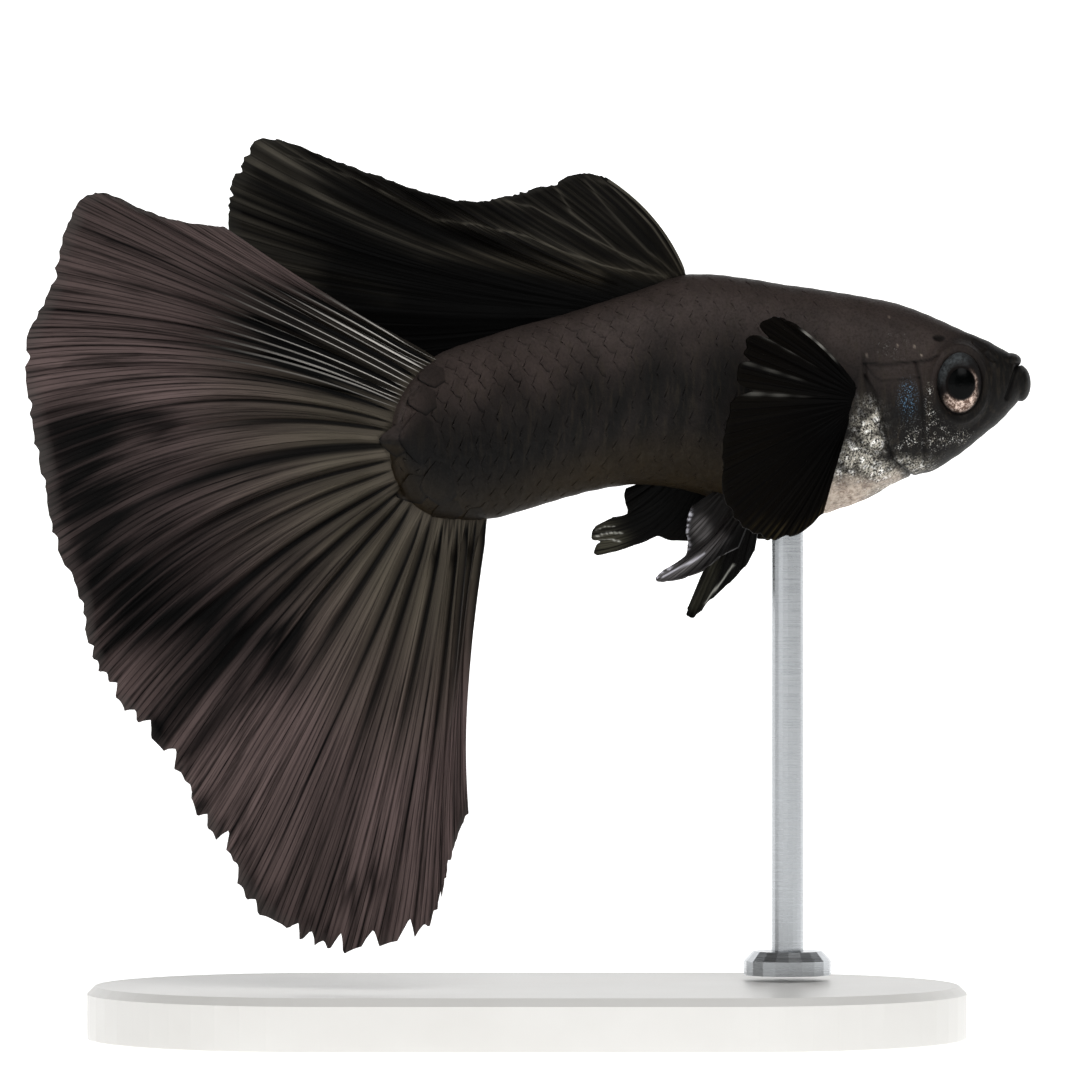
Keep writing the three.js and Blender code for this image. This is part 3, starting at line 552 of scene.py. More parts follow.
def eye_material():
    """Fish eye under a wet clear cornea: a black pupil in a dark iris with a pinkish gold crescent."""
    material, tree = new_material("wet_fish_eye")
    pupil, gold, ring, pale = [
        add_node(tree, "Attribute", {"attribute_name": name}, "Fac")
        for name in ("pupil", "gold", "ring", "pale")
    ]
    # the gold and grey flakes of the iris, 0.17 mm across; the grey flakes at the upper left are a painted
    # highlight, and the brightest gold flakes painted glints
    at = add_node(tree, "TexCoord", {}, "Object")
    flake = add_node(tree, "TexNoise", {"Vector": at, "Scale": per_mm(0.17), "Detail": 3.0, "Roughness": 0.7})
    colour = add_node(tree, "Mix", {"data_type": "RGBA", 0: ring, 6: "#171413", 7: "#232222"}, 2)
    grey = add_node(tree, "MapRange", {"Value": flake, "From Min": 0.35, "From Max": 0.6, "To Min": 0.15})
    grey = add_node(tree, "Math", {"operation": "MULTIPLY", 0: pale, 1: grey})
    colour = add_node(tree, "Mix", {"data_type": "RGBA", 0: grey, 6: colour, 7: "#4c5052"}, 2)
    under = add_node(tree, "Math", {"operation": "MULTIPLY", 0: gold, 1: 0.9})
    colour = add_node(tree, "Mix", {"data_type": "RGBA", 0: under, 6: colour, 7: "#6b554a"}, 2)
    shine = add_node(tree, "MapRange", {"Value": flake, "From Min": 0.46, "From Max": 0.6, "To Max": 0.85})
    shine = add_node(tree, "Math", {"operation": "MULTIPLY", "use_clamp": True, 0: gold, 1: shine})
    colour = add_node(tree, "Mix", {"data_type": "RGBA", 0: shine, 6: colour, 7: "#ecd6c8"}, 2)
    colour = add_node(tree, "Mix", {"data_type": "RGBA", 0: pupil, 6: colour, 7: "#010202"}, 2)
    rough = add_node(tree, "MapRange", {"Value": pupil, "To Min": 0.38, "To Max": 0.2})
    metallic = add_node(tree, "Math", {"operation": "MULTIPLY", 0: shine, 1: 0.6})
    bump = add_node(tree, "Bump", {"Strength": 0.5, "Distance": 0.03 * MM, "Height": flake})
    shader = add_node(tree, "BsdfPrincipled", {
        "Base Color": colour,
        "Metallic": metallic,
        "Roughness": rough,
        "IOR": 1.38,
        "Specular IOR Level": 0.1,
        "Normal": bump,
    })
    add_node(tree, "OutputMaterial", {"Surface": shader})
    return material


def steel_material():
    """Brushed stainless steel: fine bright rings round the post, left by the lathe."""
    material, tree = new_material("brushed_stainless_steel")
    # the rings are about 0.06 mm apart
    at = add_node(tree, "TexCoord", {}, "Object")
    flat = add_node(tree, "Mapping", {"Vector": at, "Scale": (0.02, 0.02, 1.0)})
    ring = add_node(
        tree, "TexNoise", {"Vector": flat, "Scale": per_mm(0.06), "Detail": 3.0, "Roughness": 0.6}
    )
    colour = add_node(tree, "Mix", {"data_type": "RGBA", 0: ring, 6: "#a9adb1", 7: "#cfd2d5"}, 2)
    rough = add_node(
        tree, "MapRange", {"Value": ring, "From Min": 0.3, "From Max": 0.7, "To Min": 0.22, "To Max": 0.38}
    )
    shader = add_node(tree, "BsdfPrincipled", {"Base Color": colour, "Roughness": rough, "Metallic": 1.0})
    add_node(tree, "OutputMaterial", {"Surface": shader})
    return material


def acrylic_material():
    """Cast white acrylic, sanded to a satin: faint clouding and a soft broad gloss."""
    material, tree = new_material("sanded_white_acrylic")
    # clouds of 5 mm, and sanding marks drawn at 0.08 mm, coarser than the real grit, so that they show
    at = add_node(tree, "TexCoord", {}, "Object")
    cloud = add_node(tree, "TexNoise", {"Vector": at, "Scale": per_mm(5.0), "Detail": 3.0})
    sanded = add_node(
        tree, "TexNoise", {"Vector": at, "Scale": per_mm(0.08), "Detail": 2.0, "Roughness": 0.6}
    )
    colour = add_node(tree, "Mix", {"data_type": "RGBA", 0: cloud, 6: "#dedcd8", 7: "#e9e8e5"}, 2)
    rough = add_node(
        tree, "MapRange", {"Value": sanded, "From Min": 0.3, "From Max": 0.7, "To Min": 0.3, "To Max": 0.42}
    )
    bump = add_node(tree, "Bump", {"Strength": 0.12, "Distance": 0.02 * MM, "Height": sanded})
    shader = add_node(
        tree, "BsdfPrincipled", {"Base Color": colour, "Roughness": rough, "IOR": 1.49, "Normal": bump}
    )
    add_node(tree, "OutputMaterial", {"Surface": shader})
    return material


def paper_material():
    """Matt white paper that is lit evenly, so the fish stands on plain white."""
    material, tree = new_material("matt_white_paper")
    at = add_node(tree, "TexCoord", {}, "Object")
    grain = add_node(tree, "TexNoise", {"Vector": at, "Scale": per_mm(2.0), "Detail": 2.0})
    colour = add_node(tree, "Mix", {"data_type": "RGBA", 0: grain, 6: "#f6f6f5", 7: "#fbfbfa"}, 2)
    shader = add_node(tree, "BsdfPrincipled", {
        "Base Color": colour,
        "Roughness": 0.9,
        "Specular IOR Level": 0.0,
        "Emission Color": "#ffffff",
        "Emission Strength": 0.92,
    })
    add_node(tree, "OutputMaterial", {"Surface": shader})
    return material


SKIN = skin_material()
EYE = eye_material()
# Fin membranes: each name is followed by the pale, warm, deep, streak and bare ray colours, the count of
# rays, the colour of the thin rim and the gloss.
CAUDAL = fin_material(
    "mauve_black_fin_membrane",
    "#655654",
    "#625b50",
    "#110e0c",
    "#1d1817",
    "#bcb8b2",
    52,
    "#454240",
    0.06,
    bare_rays=True,
)
DORSAL = fin_material(
    "olive_black_fin_membrane", "#4f4b43", "#453f34", "#080705", "#0f0d09", "#8d877a", 15, "#2c2b28", 0.06
)
PECTORAL = fin_material(
    "black_fin_membrane", "#37301f", "#0e0c0a", "#040303", "#080706", "#8a8882", 14, "#0f0d0a", 0.03
)
PELVIC = fin_material(
    "wet_grey_fin_membrane", "#848080", "#5e5555", "#12100f", "#1f1b1a", "#eceaf4", 10, "#2c2929", 0.22
)
PELVIC_DARK = fin_material(
    "wet_black_fin_membrane", "#4d4b3f", "#393628", "#060504", "#0b0a08", "#c9c8bf", 10, "#12110e", 0.07
)


# Body markings, shared by the skin and its scales
def strokes(x, z, rows):
    """Soft strokes added up. Each row is a strength, a width, and a line of x and z pairs."""
    return sum(strength * stroke(x, z, line, width) for strength, width, line in rows)


def spots(x, z, rows):
    """Soft ovals added up. Each row is a strength, a centre, two radii and a softness."""
    return sum(row[0] * spot(x, z, *row[1:]) for row in rows)


def markings(piece, points, distance):
    """Marks each point with the pigment zones of the flank it lies on, with painted light on the back and
    painted shade in the grooves and pits.
    """
    x, z = points[:, 0], points[:, 2]
    back, belly, _ = np.moveaxis(at_place(STATIONS, distance), -1, 0)
    height = (z - belly) / (back - belly)
    # the lighter back, which reaches down over the nape and again near the tail: a mauve-brown tone,
    # lightened by painted light from above
    upper = smooth(0.5, 0.86, height + 0.05 * np.sin(x * 1.7))
    nape = 0.8 * smooth(10.5, 6.5, distance) * smooth(0.35, 0.7, height)
    upper = np.maximum(upper, nape) * smooth(1.5, 5.5, distance)
    upper = np.maximum(upper, 0.36 * smooth(20.0, 29.0, distance) * smooth(0.35, 0.8, height))
    bars = 0.5 + 0.5 * np.sin(x * 3.9 + 1.2 * np.sin(z * 1.1))
    flank = smooth(13.0, 16.0, distance) * smooth(28.0, 22.0, distance)
    upper = upper + 0.18 * bars * flank * smooth(0.75, 0.3, height)
    mark(piece, "back", np.clip(upper, 0, 1))
    mark(piece, "belly", np.clip(smooth(0.34, 0.08, height) * smooth(10.5, 14.0, distance), 0, 1))
    # the silver patch behind the gill cover, and a little of it on the cover's lower edge
    cover = smooth(-0.1, 0.15, x - np.interp(z, GILL_HEIGHTS[:6], GILL_EDGE[:6]))
    silver = stroke(x, z, CHEST_LINE, 0.75)
    silver = np.maximum(silver, 0.8 * spot(x, z, 16.9, 28.3, 2.1, 0.9, 0.5)) * smooth(32.8, 31.0, z)
    silver = silver * (1 - 0.9 * cover) + 0.45 * cover * spot(x, z, 19.2, 28.9, 1.2, 0.5, 0.7)
    mark(piece, "chest", np.clip(silver * smooth(13.0, 15.0, x), 0, 1))
    cream = spots(x, z, CREAM_SPOTS) + strokes(x, z, CREAM_STROKES)
    mark(piece, "cream", np.clip(cream * smooth(12.5, 14.0, x), 0, 1))
    mark(piece, "glint", np.clip(spots(x, z, GLINT_SPOTS) + strokes(x, z, GLINT_STROKES), 0, 1))
    mark(piece, "cool", np.clip(spot(x, z, 19.1, 32.3, 0.8, 1.2, 0.5), 0, 1))
    # the dark mark: painted shade in the head's grooves, slits and pits and where the tail root turns away,
    # and a dark stroke along the shoulder
    mark(piece, "dark", np.clip(strokes(x, z, DARK_STROKES) + spots(x, z, DARK_SPOTS), 0, 1))


def relief(points):
    """How far the skin stands out or in, for the plates and grooves of the head."""
    x, z = points[:, 0], points[:, 2]
    # the eye socket, with a low rim and a groove round it
    r = np.hypot((x - EYE_X) / (EYE_RADII[0] + 0.05), (z - EYE_Z) / (EYE_RADII[2] + 0.05))
    height = -0.55 * (1 - smooth(0.82, 1.0, r)) + 0.13 * np.exp(-(((r - 1.13) / 0.1) ** 2))
    height = height - 0.07 * np.exp(-(((r - 1.42) / 0.1) ** 2))
    # the gill cover stands out and thins towards the cheek
    past = x - np.interp(z, GILL_HEIGHTS, GILL_EDGE)
    cover = smooth(-0.02, 0.12, past) * smooth(3.2, 1.0, past)
    cover = cover * smooth(28.0, 29.0, z) * smooth(34.3, 33.6, z)
    height = height + 0.13 * cover - strokes(x, z, HEAD_GROOVES)
    height = height - 0.09 * spot(x, z, 20.75, 35.4, 0.26, 0.12)
    return height + 0.014 * np.sin(x * 5.3 + z * 2.1) * np.sin(z * 6.1 - x * 1.3)


# Skin: one closed shell from the lips to the tail root
def head_first(share):
    """Places half of the rings on the head, where the detail is."""
    head = HEAD_REACH * (share / 0.5) ** 1.1
    return np.where(share < 0.5, head, HEAD_REACH + (BODY_LENGTH - HEAD_REACH) * (share - 0.5) / 0.5)


def swelling(points, centre, radii):
    """Pushes points that lie inside an oval out to its surface."""
    away = (points - centre) / radii
    size = np.maximum(np.linalg.norm(away, axis=1, keepdims=True), 0.05)
    return np.where(size < 1, centre + (points - centre) / size, points)


def skin():
    piece, around, share = grid("skin", 280, 338)
    angle = around * 2 * np.pi - np.pi / 2
    distance = np.maximum(head_first(share), NOSE_TIP)
    # both ends close in a round point
    front, rear = np.clip(share / 0.02, 0, 1), np.clip((1 - share) / 0.015, 0, 1)
    shrink = np.sqrt(np.clip(1 - (1 - front) ** 2, 0, 1)) * np.sqrt(np.clip(1 - (1 - rear) ** 2, 0, 1))
    points = body_point(distance, angle, 0.0, shrink)
    step = 0.02
    ahead = body_point(np.maximum(distance - step, NOSE_TIP), angle) - body_point(distance + step, angle)
    round_it = body_point(distance, angle + step) - body_point(distance, angle - step)
    normal = crossing(round_it, ahead)
    # the normal is turned so that it points away from the middle of the body
    middle = np.mean(at_place(STATIONS, distance)[:, :2], axis=-1)
    from_middle = body_point(distance, angle) - np.stack([*backbone(distance)[:2], middle], axis=-1)
    turned = np.sign((normal * from_middle).sum(axis=1))
    normal = normal * np.where(turned == 0, 1, turned)[:, None]
    points = points + normal * relief(points)[:, None] * np.clip(shrink, 0, 1)[:, None]
    points = swelling(points, *LOWER_LIP)
    points = swelling(points, *UPPER_LIP)
    place(piece, points)
    markings(piece, points, distance)
    mark(piece, "edge", np.zeros(len(points)))
    tidy(piece)
    smoothed(piece, 80)
    finished(piece, SKIN, ("head", "trunk", "tail_root", "gill_cover_right", "gill_cover_left"))


# Large scales of the tail root: x and z of the root, way in degrees, length, width and extra height.
ROOT_LEAVES = [
    [-4.1, 33.4, 186, 1.3, 1.2, 0.0],
    [-4.5, 32.2, 186, 1.4, 1.5, 0.0],
    [-4.6, 30.3, 182, 1.7, 2.6, 0.02],
    [-5.8, 30.1, 178, 1.45, 1.6, 0.05],
    [-3.6, 28.1, 190, 1.7, 2.3, 0.0],
    [-4.9, 28.0, 202, 1.6, 1.5, 0.04],
    [-3.3, 26.9, 202, 1.7, 1.1, 0.0],
    [-2.2, 26.7, 208, 1.2, 0.8, 0.0],
]
SCALE_LENGTH = 1.5


# Scales: thin plates that overlap towards the tail
def leaves(name, cells, count):
    """Copies of one small grid in one piece, with each point's places in its copy and the copy's number."""
    piece, _, _ = grid(name, cells, cells)
    many = piece.modifiers.new("many", "ARRAY")
    many.count = count
    many.use_relative_offset = False
    many.use_constant_offset = True
    many.constant_offset_displace = (0, 0, 1)
    chosen(piece)
    bpy.ops.object.modifier_apply(modifier="many")
    flat = points_of(piece)
    return piece, flat[:, 0] * 2, flat[:, 1] + 0.5, np.rint(flat[:, 2]).astype(int)


def bake_patches(piece, home, s, t):
    """Gives each leaf a small patch of its own on the OFBake map."""
    spread = home + 0.003 * np.stack([s / 2, t - 0.5], axis=-1)
    corner = np.empty(len(piece.data.loops), dtype=np.int32)
    piece.data.loops.foreach_get("vertex_index", corner)
    patch = piece.data.uv_layers.new(name="OFBake")
    patch.data.foreach_set("uv", spread[corner].astype(np.float32).ravel())


def scales():
    """Rows of plates on both flanks, each a curved leaf whose free edge stands just clear of the next."""
    columns, rows, reach = 27, 12, 158
    roots = []
    for column in range(columns):
        for row in range(rows):
            for side in (0, 1):
                distance = 9.6 + (column + 0.5 * (row % 2)) * 0.96 + chance.uniform(-0.06, 0.06)
                share = (row + 0.5) / rows
                angle = math.radians(-78 + reach * share)
                # none under the breast fins
                if distance < 11.5 and share < 0.35:
                    continue
                strength = chance.uniform(0.15, 1.0)
                roots.append((distance, angle if side == 0 else math.pi - angle, strength))
    piece, s, t, which = leaves("scales", 6, len(roots))
    root_distance, root_angle, strength = np.array(roots)[which].T
    # the leaf is round at its free edge and narrower at its root
    round_end = 1 - np.clip((t - 0.45) / 0.55, 0, 1) ** 2 * 0.985
    width = np.sqrt(np.clip(round_end, 0, 1)) * (0.8 + 0.2 * np.clip(t / 0.45, 0, 1))
    distance = np.minimum(root_distance + t * SCALE_LENGTH - 0.1 * s * s, BODY_LENGTH - 0.3)
    angle = root_angle + np.radians(reach / rows * 0.74) * s * width
    # the plates stand out most on the rear of the back and lie close on the flank
    high = smooth(-0.2, 0.5, np.sin(root_angle))
    proud = 0.004 + 0.02 * smooth(14.0, 25.0, root_distance) * high
    lift = -0.03 + (0.03 + proud) * t**1.3 - 0.012 * (s * width) ** 2
    points = body_point(distance, angle, lift)
    place(piece, points)
    markings(piece, points, distance)
    # the lower half of each free edge lies in its own shade
    rim = np.maximum(smooth(0.78, 1.0, t), smooth(0.8, 1.0, np.abs(s)) * smooth(0.35, 0.7, t))
    lower = np.where(np.cos(root_angle) > 0, -s, s)
    shade = rim * smooth(11.0, 20.0, root_distance) * high * smooth(-0.25, 0.25, lower) * strength
    mark(piece, "edge", 0.9 * shade * smooth(0.98, 0.8, np.sin(root_angle)))
    home = np.stack([root_angle / (2 * np.pi) % 1, root_distance / BODY_LENGTH], axis=-1)
    bake_patches(piece, home, s, t)
    thicken(piece, 0.024)
    smoothed(piece, 80)
    finished(piece, SKIN)


def flank_place(x, z, side, lift):
    """The point on the flank at an x and a height, seen from the side, and beyond the tail root along it."""
    distances = np.linspace(0, BODY_LENGTH, 800)
    spine = backbone(distances)[0]
    reach, rx = np.zeros_like(x), np.zeros_like(x)
    for _ in range(4):
        distance = np.interp(-(x - side * rx * reach), -spine, distances)
        _, by, rx, ry = backbone(distance)
        back, belly, half = np.moveaxis(at_place(STATIONS, distance), -1, 0)
        widest = belly + BELLY_SHARE * (back - belly)
        upward = z >= widest
        power = np.where(upward, BACK_SQUARENESS, BELLY_SQUARENESS)
        tall = np.where(upward, back - widest, widest - belly)
        share = np.clip(np.abs(z - widest) / tall, 0, 1)
        reach = half * (1 - share**power) ** (1 / power)
    return np.stack([x, by + side * ry * (reach + lift), z], axis=-1), distance


def root_scales():
    """Large pointed scales that reach from the tail root over the rays of the tail fin."""
    piece, s, t, which = leaves("root_scales", 10, 2 * len(ROOT_LEAVES))
    number = which % len(ROOT_LEAVES)
    root_x, root_z, way, length, breadth, extra = np.array(ROOT_LEAVES)[number].T
    side = np.where(which < len(ROOT_LEAVES), 1.0, -1.0)
    # a leaf that widens from its root and ends in a point
    width = np.minimum(0.55 + 1.2 * t, 1.05 * np.clip((1.02 - t) / 0.62, 0, 1) ** 0.75)
    turn = np.radians(way)
    run, over = t * length, s * width * breadth / 2
    x = root_x + (run * np.cos(turn) - over * np.sin(turn))
    z = root_z + (run * np.sin(turn) + over * np.cos(turn))
    points, distance = flank_place(x, z, side, 0.02 + extra + 0.09 * t - 0.07 * (s * width) ** 2)
    place(piece, points)
    markings(piece, points, distance)
    # painted shade: darker along the free end, the lower edge and towards the root, over a little darkening
    # all over
    shaded_lower_edge = smooth(0.7, 1.0, s)
    edge = 0.2 + 0.75 * np.maximum(smooth(0.9, 1.0, t), shaded_lower_edge) + 0.25 * (1 - t)
    mark(piece, "edge", np.clip(edge, 0, 1))
    home = np.stack([0.5 + 0.3 * side, 0.9 + 0.01 * number / 2], axis=-1)
    bake_patches(piece, home, s, t)
    tidy(piece)
    thicken(piece, 0.05)
    smoothed(piece, 80)
    finished(piece, SKIN)


# Eyes
def eye(side):
    """An eyeball with its pupil, iris and rim marked, set in its socket."""
    toward = -1 if side == "right" else 1
    lone()
    bpy.ops.mesh.primitive_uv_sphere_add(segments=128, ring_count=96, radius=1, rotation=(math.pi / 2, 0, 0))
    bpy.ops.object.transform_apply(location=False, rotation=True, scale=False)
    piece = named("eyeball_" + side)
    ball = points_of(piece)
    facing = toward * ball[:, 1]
    x, z = ball[:, 0] * EYE_RADII[0], ball[:, 2] * EYE_RADII[2]
    pupil_r = np.hypot((x - 0.08) / 0.66, z / 0.76)
    r = np.hypot(ball[:, 0], ball[:, 2])
    # the pupil is a low dome on the iris, which dips slightly around it
    dome = 0.04 * np.exp(-((pupil_r / 0.9) ** 4)) - 0.05 * np.exp(-(((pupil_r - 1.25) / 0.16) ** 2))
    points = ball * (1 + np.where(facing > 0, dome, 0))[:, None] * np.array(EYE_RADII)
    place(piece, points + np.array([EYE_X, MIDPLANE_Y + toward * EYE_OUT, EYE_Z]))
    seen = (facing > 0.0).astype(float)
    mark(piece, "pupil", smooth(1.06, 0.97, pupil_r) * seen)
    # a gold crescent under the pupil, and a thin gold line that runs up beside it
    turn = np.arctan2(z, x)
    low = smooth(0.35, 0.95, np.cos(turn + math.radians(82)))
    thin = 0.6 * np.exp(-(((pupil_r - 1.22) / 0.09) ** 2))
    thin = thin * smooth(-0.1, 0.6, np.cos(turn + math.radians(35)))
    crescent = low * smooth(1.15, 1.35, pupil_r) * smooth(0.93, 0.78, r)
    mark(piece, "gold", np.clip(crescent + thin, 0, 1) * seen)
    mark(piece, "ring", smooth(0.72, 0.95, r))
    # the pale mark: a painted highlight of grey flakes at the upper left of the iris
    mark(piece, "pale", smooth(0.3, 0.95, np.cos(turn - math.radians(125))) * smooth(0.55, 0.8, r) * seen)
    smoothed(piece, 80)
    finished(piece, EYE, ("eye_" + side,))


# Fins
def fan_point(root, rim, across, outward):
    """A point of a fin's middle surface, whose rays run from the root to the rim in shallow arcs."""
    start, end = along(root, across), along(rim, across)
    dx, dz = end[:, 0] - start[:, 0], end[:, 2] - start[:, 2]
    arch = 4 * outward * (1 - outward) * end[:, 3] / np.hypot(dx, dz)
    return np.stack([
        start[:, 0] + dx * outward + dz * arch,
        start[:, 1] + (end[:, 1] - start[:, 1]) * outward,
        start[:, 2] + dz * outward - dx * arch,
    ], axis=-1)


def ragged(across, rays, depth, slits, seed):
    """Where each ray ends: a torn edge, with a notch of its own between each two rays, and deeper slits."""
    own = np.random.default_rng(seed)
    place_of = across * rays
    k = np.floor(place_of).astype(int)
    t = place_of - k
    deep = own.uniform(0.1, 1.0, rays + 2) ** 2.2
    runs = np.repeat(own.uniform(0.0, 1.0, rays // 3 + 2), 3)[: rays + 2]
    tips = 0.8 * runs + own.uniform(0.0, 0.3, rays + 2)
    tip = tips[k] * (1 - t) + tips[k + 1] * t
    amount = depth(across) if callable(depth) else depth
    end = 1 - amount * (deep[k] * (1 - np.abs(2 * t - 1)) ** 0.7 + tip)
    for centre, cut, width in slits:
        end = end - cut * np.exp(-np.abs((across - centre) / width) ** 1.6)
    return end


def fin(
    name, node, outline, material, paint, cells, billow, folds, torn, seed, thick, slits=(), mirrored=False
):
    """A fin: a closed, pleated sheet with its ray shares, its pigment and its painted light and shade marked
    on it.
    """
    piece, across, outward = grid(name, *cells)
    root, rim = (np.array(rows, float) for rows in outline)

    def surface(u, v):
        points = fan_point(root, rim, u, v)
        points[:, 1] += billow(u, v)
        return points

    ends = ragged(across, *torn, slits, seed)
    reach = outward * ends
    step = 0.002
    over = surface(across + step, reach) - surface(across - step, reach)
    out = surface(across, reach + step) - surface(across, reach - step)
    points = surface(across, reach) + crossing(over, out) * folds(across, reach)[:, None]
    if mirrored:
        points[:, 1] = 2 * MIDPLANE_Y - points[:, 1]
    place(piece, points)
    mark(piece, "across", across)
    mark(piece, "outward", outward * (0.4 + 0.6 * ends))
    for what, values in zip(("light", "fold", "white"), paint(surface, across, reach)):
        mark(piece, what, np.clip(values, 0, 1))
    tidy(piece)
    thicken(piece, thick)
    smoothed(piece, 60)
    finished(piece, material, (node,))


def pleat(across, count, sharpness=0.8):
    """A row of pleats: rounded ray crests with narrow valleys between."""
    return np.abs(np.sin(np.pi * across * count)) ** sharpness - 0.6


def on_backbone(rows):
    """Root points in the body's middle plane, from their distances along it and heights."""
    rows = np.array(rows, float)
    x, y, _, _ = backbone(rows[:, 0])
    return np.stack([x, y, rows[:, 1]], axis=-1)


# Each fin: root points, and rim points whose fourth number is how far the ray to them arches.
CAUDAL_ROOT = on_backbone([
    [31.7, 34.1],
    [34.2, 32.4],
    [35.4, 30.3],
    [34.5, 28.1],
    [32.2, 26.7],
    [28.6, 26.6],
])
CAUDAL_RIM = [
    [-14.8, -5.6, 40.6, -0.2],
    [-18.2, -5.6, 41.2, -0.1],
    [-21.5, -5.5, 42.4, 0],
    [-23, -5.3, 40.8, 0.3],
    [-23.8, -5, 37.6, 0.8],
    [-24.8, -4.8, 34.9, 1.2],
    [-24.7, -4.6, 31.7, 1.5],
    [-24, -4.4, 28.7, 1.6],
    [-23.6, -4.4, 25.7, 1.5],
    [-22.3, -4.5, 22.3, 1.4],
    [-21.7, -4.6, 19.1, 1.3],
    [-20, -4.7, 16.4, 1],
    [-17.5, -4.8, 13.4, 0.5],
    [-15.8, -5, 10.5, 0],
    [-14.2, -5.2, 7.7, -0.2],
    [-11.7, -5.4, 5, -0.2],
    [-8.7, -5.6, 4.2, -0.3],
    [-5, -5.5, 5.5, 0.05],
    [-3.8, -5.2, 9.3, 0.4],
    [-2.9, -4.8, 11.8, 0.55],
]
DORSAL_ROOT = on_backbone([[17.3, 38.3], [18.9, 37.7], [20.5, 37.1], [22.1, 36.5]])
DORSAL_RIM = [
    [4, 3.2, 43.5, 0.6],
    [2.7, 3.4, 43.8, 0.4],
    [0.9, 3.7, 43.2, 0.1],
    [-1.1, 4, 42.7, -0.1],
    [-3.1, 4.4, 42.4, -0.3],
    [-5.9, 4.9, 43.1, -0.5],
    [-9.2, 5.4, 44.3, -0.6],
    [-13.5, 5.9, 45.8, -0.7],
    [-15.1, 5.9, 43.9, -0.7],
    [-15.5, 5.7, 41.7, -0.6],
    [-14.3, 5.3, 38.7, -0.4],
    [-8.7, 4.4, 34, -0.5],
]
PECTORAL_ROOT = [[16.6, 1.3, 32.8], [16.5, 1.3, 32.3], [16.3, 1.3, 31.8], [16.1, 1.3, 31.2]]
PECTORAL_RIM = [
    [13.5, -1.1, 35.9, 0.2],
    [12.2, -1.3, 36.45, 0.15],
    [11.1, -1.6, 35.8, 0.1],
    [10.5, -1.9, 34.6, 0],
    [10.2, -2.1, 33, 0],
    [9.9, -2.3, 31.1, 0],
    [9.6, -2.4, 29.3, 0],
    [9.6, -2.5, 27.6, 0],
    [10.2, -2.5, 26.3, 0],
    [11.2, -2.5, 25.5, -0.1],
    [12.3, -2.4, 25.2, -0.2],
    [13.6, -2.2, 25.5, -0.1],
    [14.7, -1.9, 26.5, 0],
]
PELVIC_RIGHT_ROOT = [[9.8, 3, 27.9], [10.8, 3, 27.8], [11.8, 3, 27.7]]
PELVIC_RIGHT_RIM = [
    [8.3, 2.4, 26.91, 0],
    [8.09, 2.3, 26.46, 0],
    [8.02, 2.2, 25.95, 0],
    [7.99, 2.1, 25.55, -0.05],
    [8.09, 2, 25.2, -0.1],
    [8.03, 1.9, 24.85, -0.25],
    [7.91, 1.8, 24.4, -0.45],
    [7.33, 1.7, 23.94, -0.5],
    [6.72, 1.6, 23.59, -0.5],
    [6.37, 1.6, 23.24, -0.45],
    [6.87, 1.6, 23.14, -0.4],
    [7.68, 1.6, 23.27, -0.3],
    [8.58, 1.65, 23.59, -0.15],
    [9.14, 1.7, 23.94, 0],
    [9.79, 1.8, 24.45, 0],
    [10.6, 1.9, 24.85, 0],
]
PELVIC_LEFT_ROOT = [[10, 4.9, 27.9], [11, 4.9, 27.8], [12, 4.9, 27.7]]
PELVIC_LEFT_RIM = [
    [9.17, 5.5, 25, 0],
    [9.02, 5.6, 24.19, 0],
    [8.92, 5.7, 23.53, 0],
    [8.97, 5.75, 22.97, 0],
    [8.87, 5.85, 22.51, 0],
    [8.57, 5.9, 22.1, 0],
    [8.24, 5.95, 21.8, 0],
    [8.11, 6, 21.52, 0],
    [8.19, 6, 21.29, 0],
    [8.41, 6, 21.29, 0],
    [8.72, 6, 21.57, 0],
    [9.18, 6, 22.1, 0],
    [9.83, 5.95, 22.66, 0],
    [10.49, 5.85, 23.27, 0],
    [11.1, 5.7, 23.98, 0],
    [11.5, 5.6, 24.69, 0],
]
GONOPODIUM_ROOT = on_backbone([[16, 27.9], [17.2, 28.2], [18.6, 28.5]])
GONOPODIUM_RIM = [
    [8.87, 3.6, 25.35, 0],
    [8.22, 3.6, 25.2, 0],
    [7.51, 3.6, 25.2, -0.1],
    [7.11, 3.6, 25.25, -0.2],
    [6.6, 3.6, 25.45, -0.3],
    [5.95, 3.6, 25.4, -0.45],
    [5.29, 3.6, 25.3, -0.6],
    [4.59, 3.6, 24.9, -0.75],
    [3.93, 3.6, 24.7, -0.8],
    [3.32, 3.6, 24.54, -0.8],
    [3.42, 3.6, 24.95, -0.8],
    [3.58, 3.6, 25.17, -0.8],
    [3.15, 3.6, 25.35, -0.8],
    [3.27, 3.6, 25.75, -0.7],
    [3.53, 3.6, 26.01, -0.6],
    [4.08, 3.6, 26.28, -0.45],
    [4.69, 3.6, 26.36, -0.3],
    [4.99, 3.6, 26.46, -0.15],
    [5.04, 3.6, 26.76, -0.05],
    [4.94, 3.6, 27.12, 0],
    [4.89, 3.6, 27.52, 0],
    [4.99, 3.6, 27.82, 0],
]


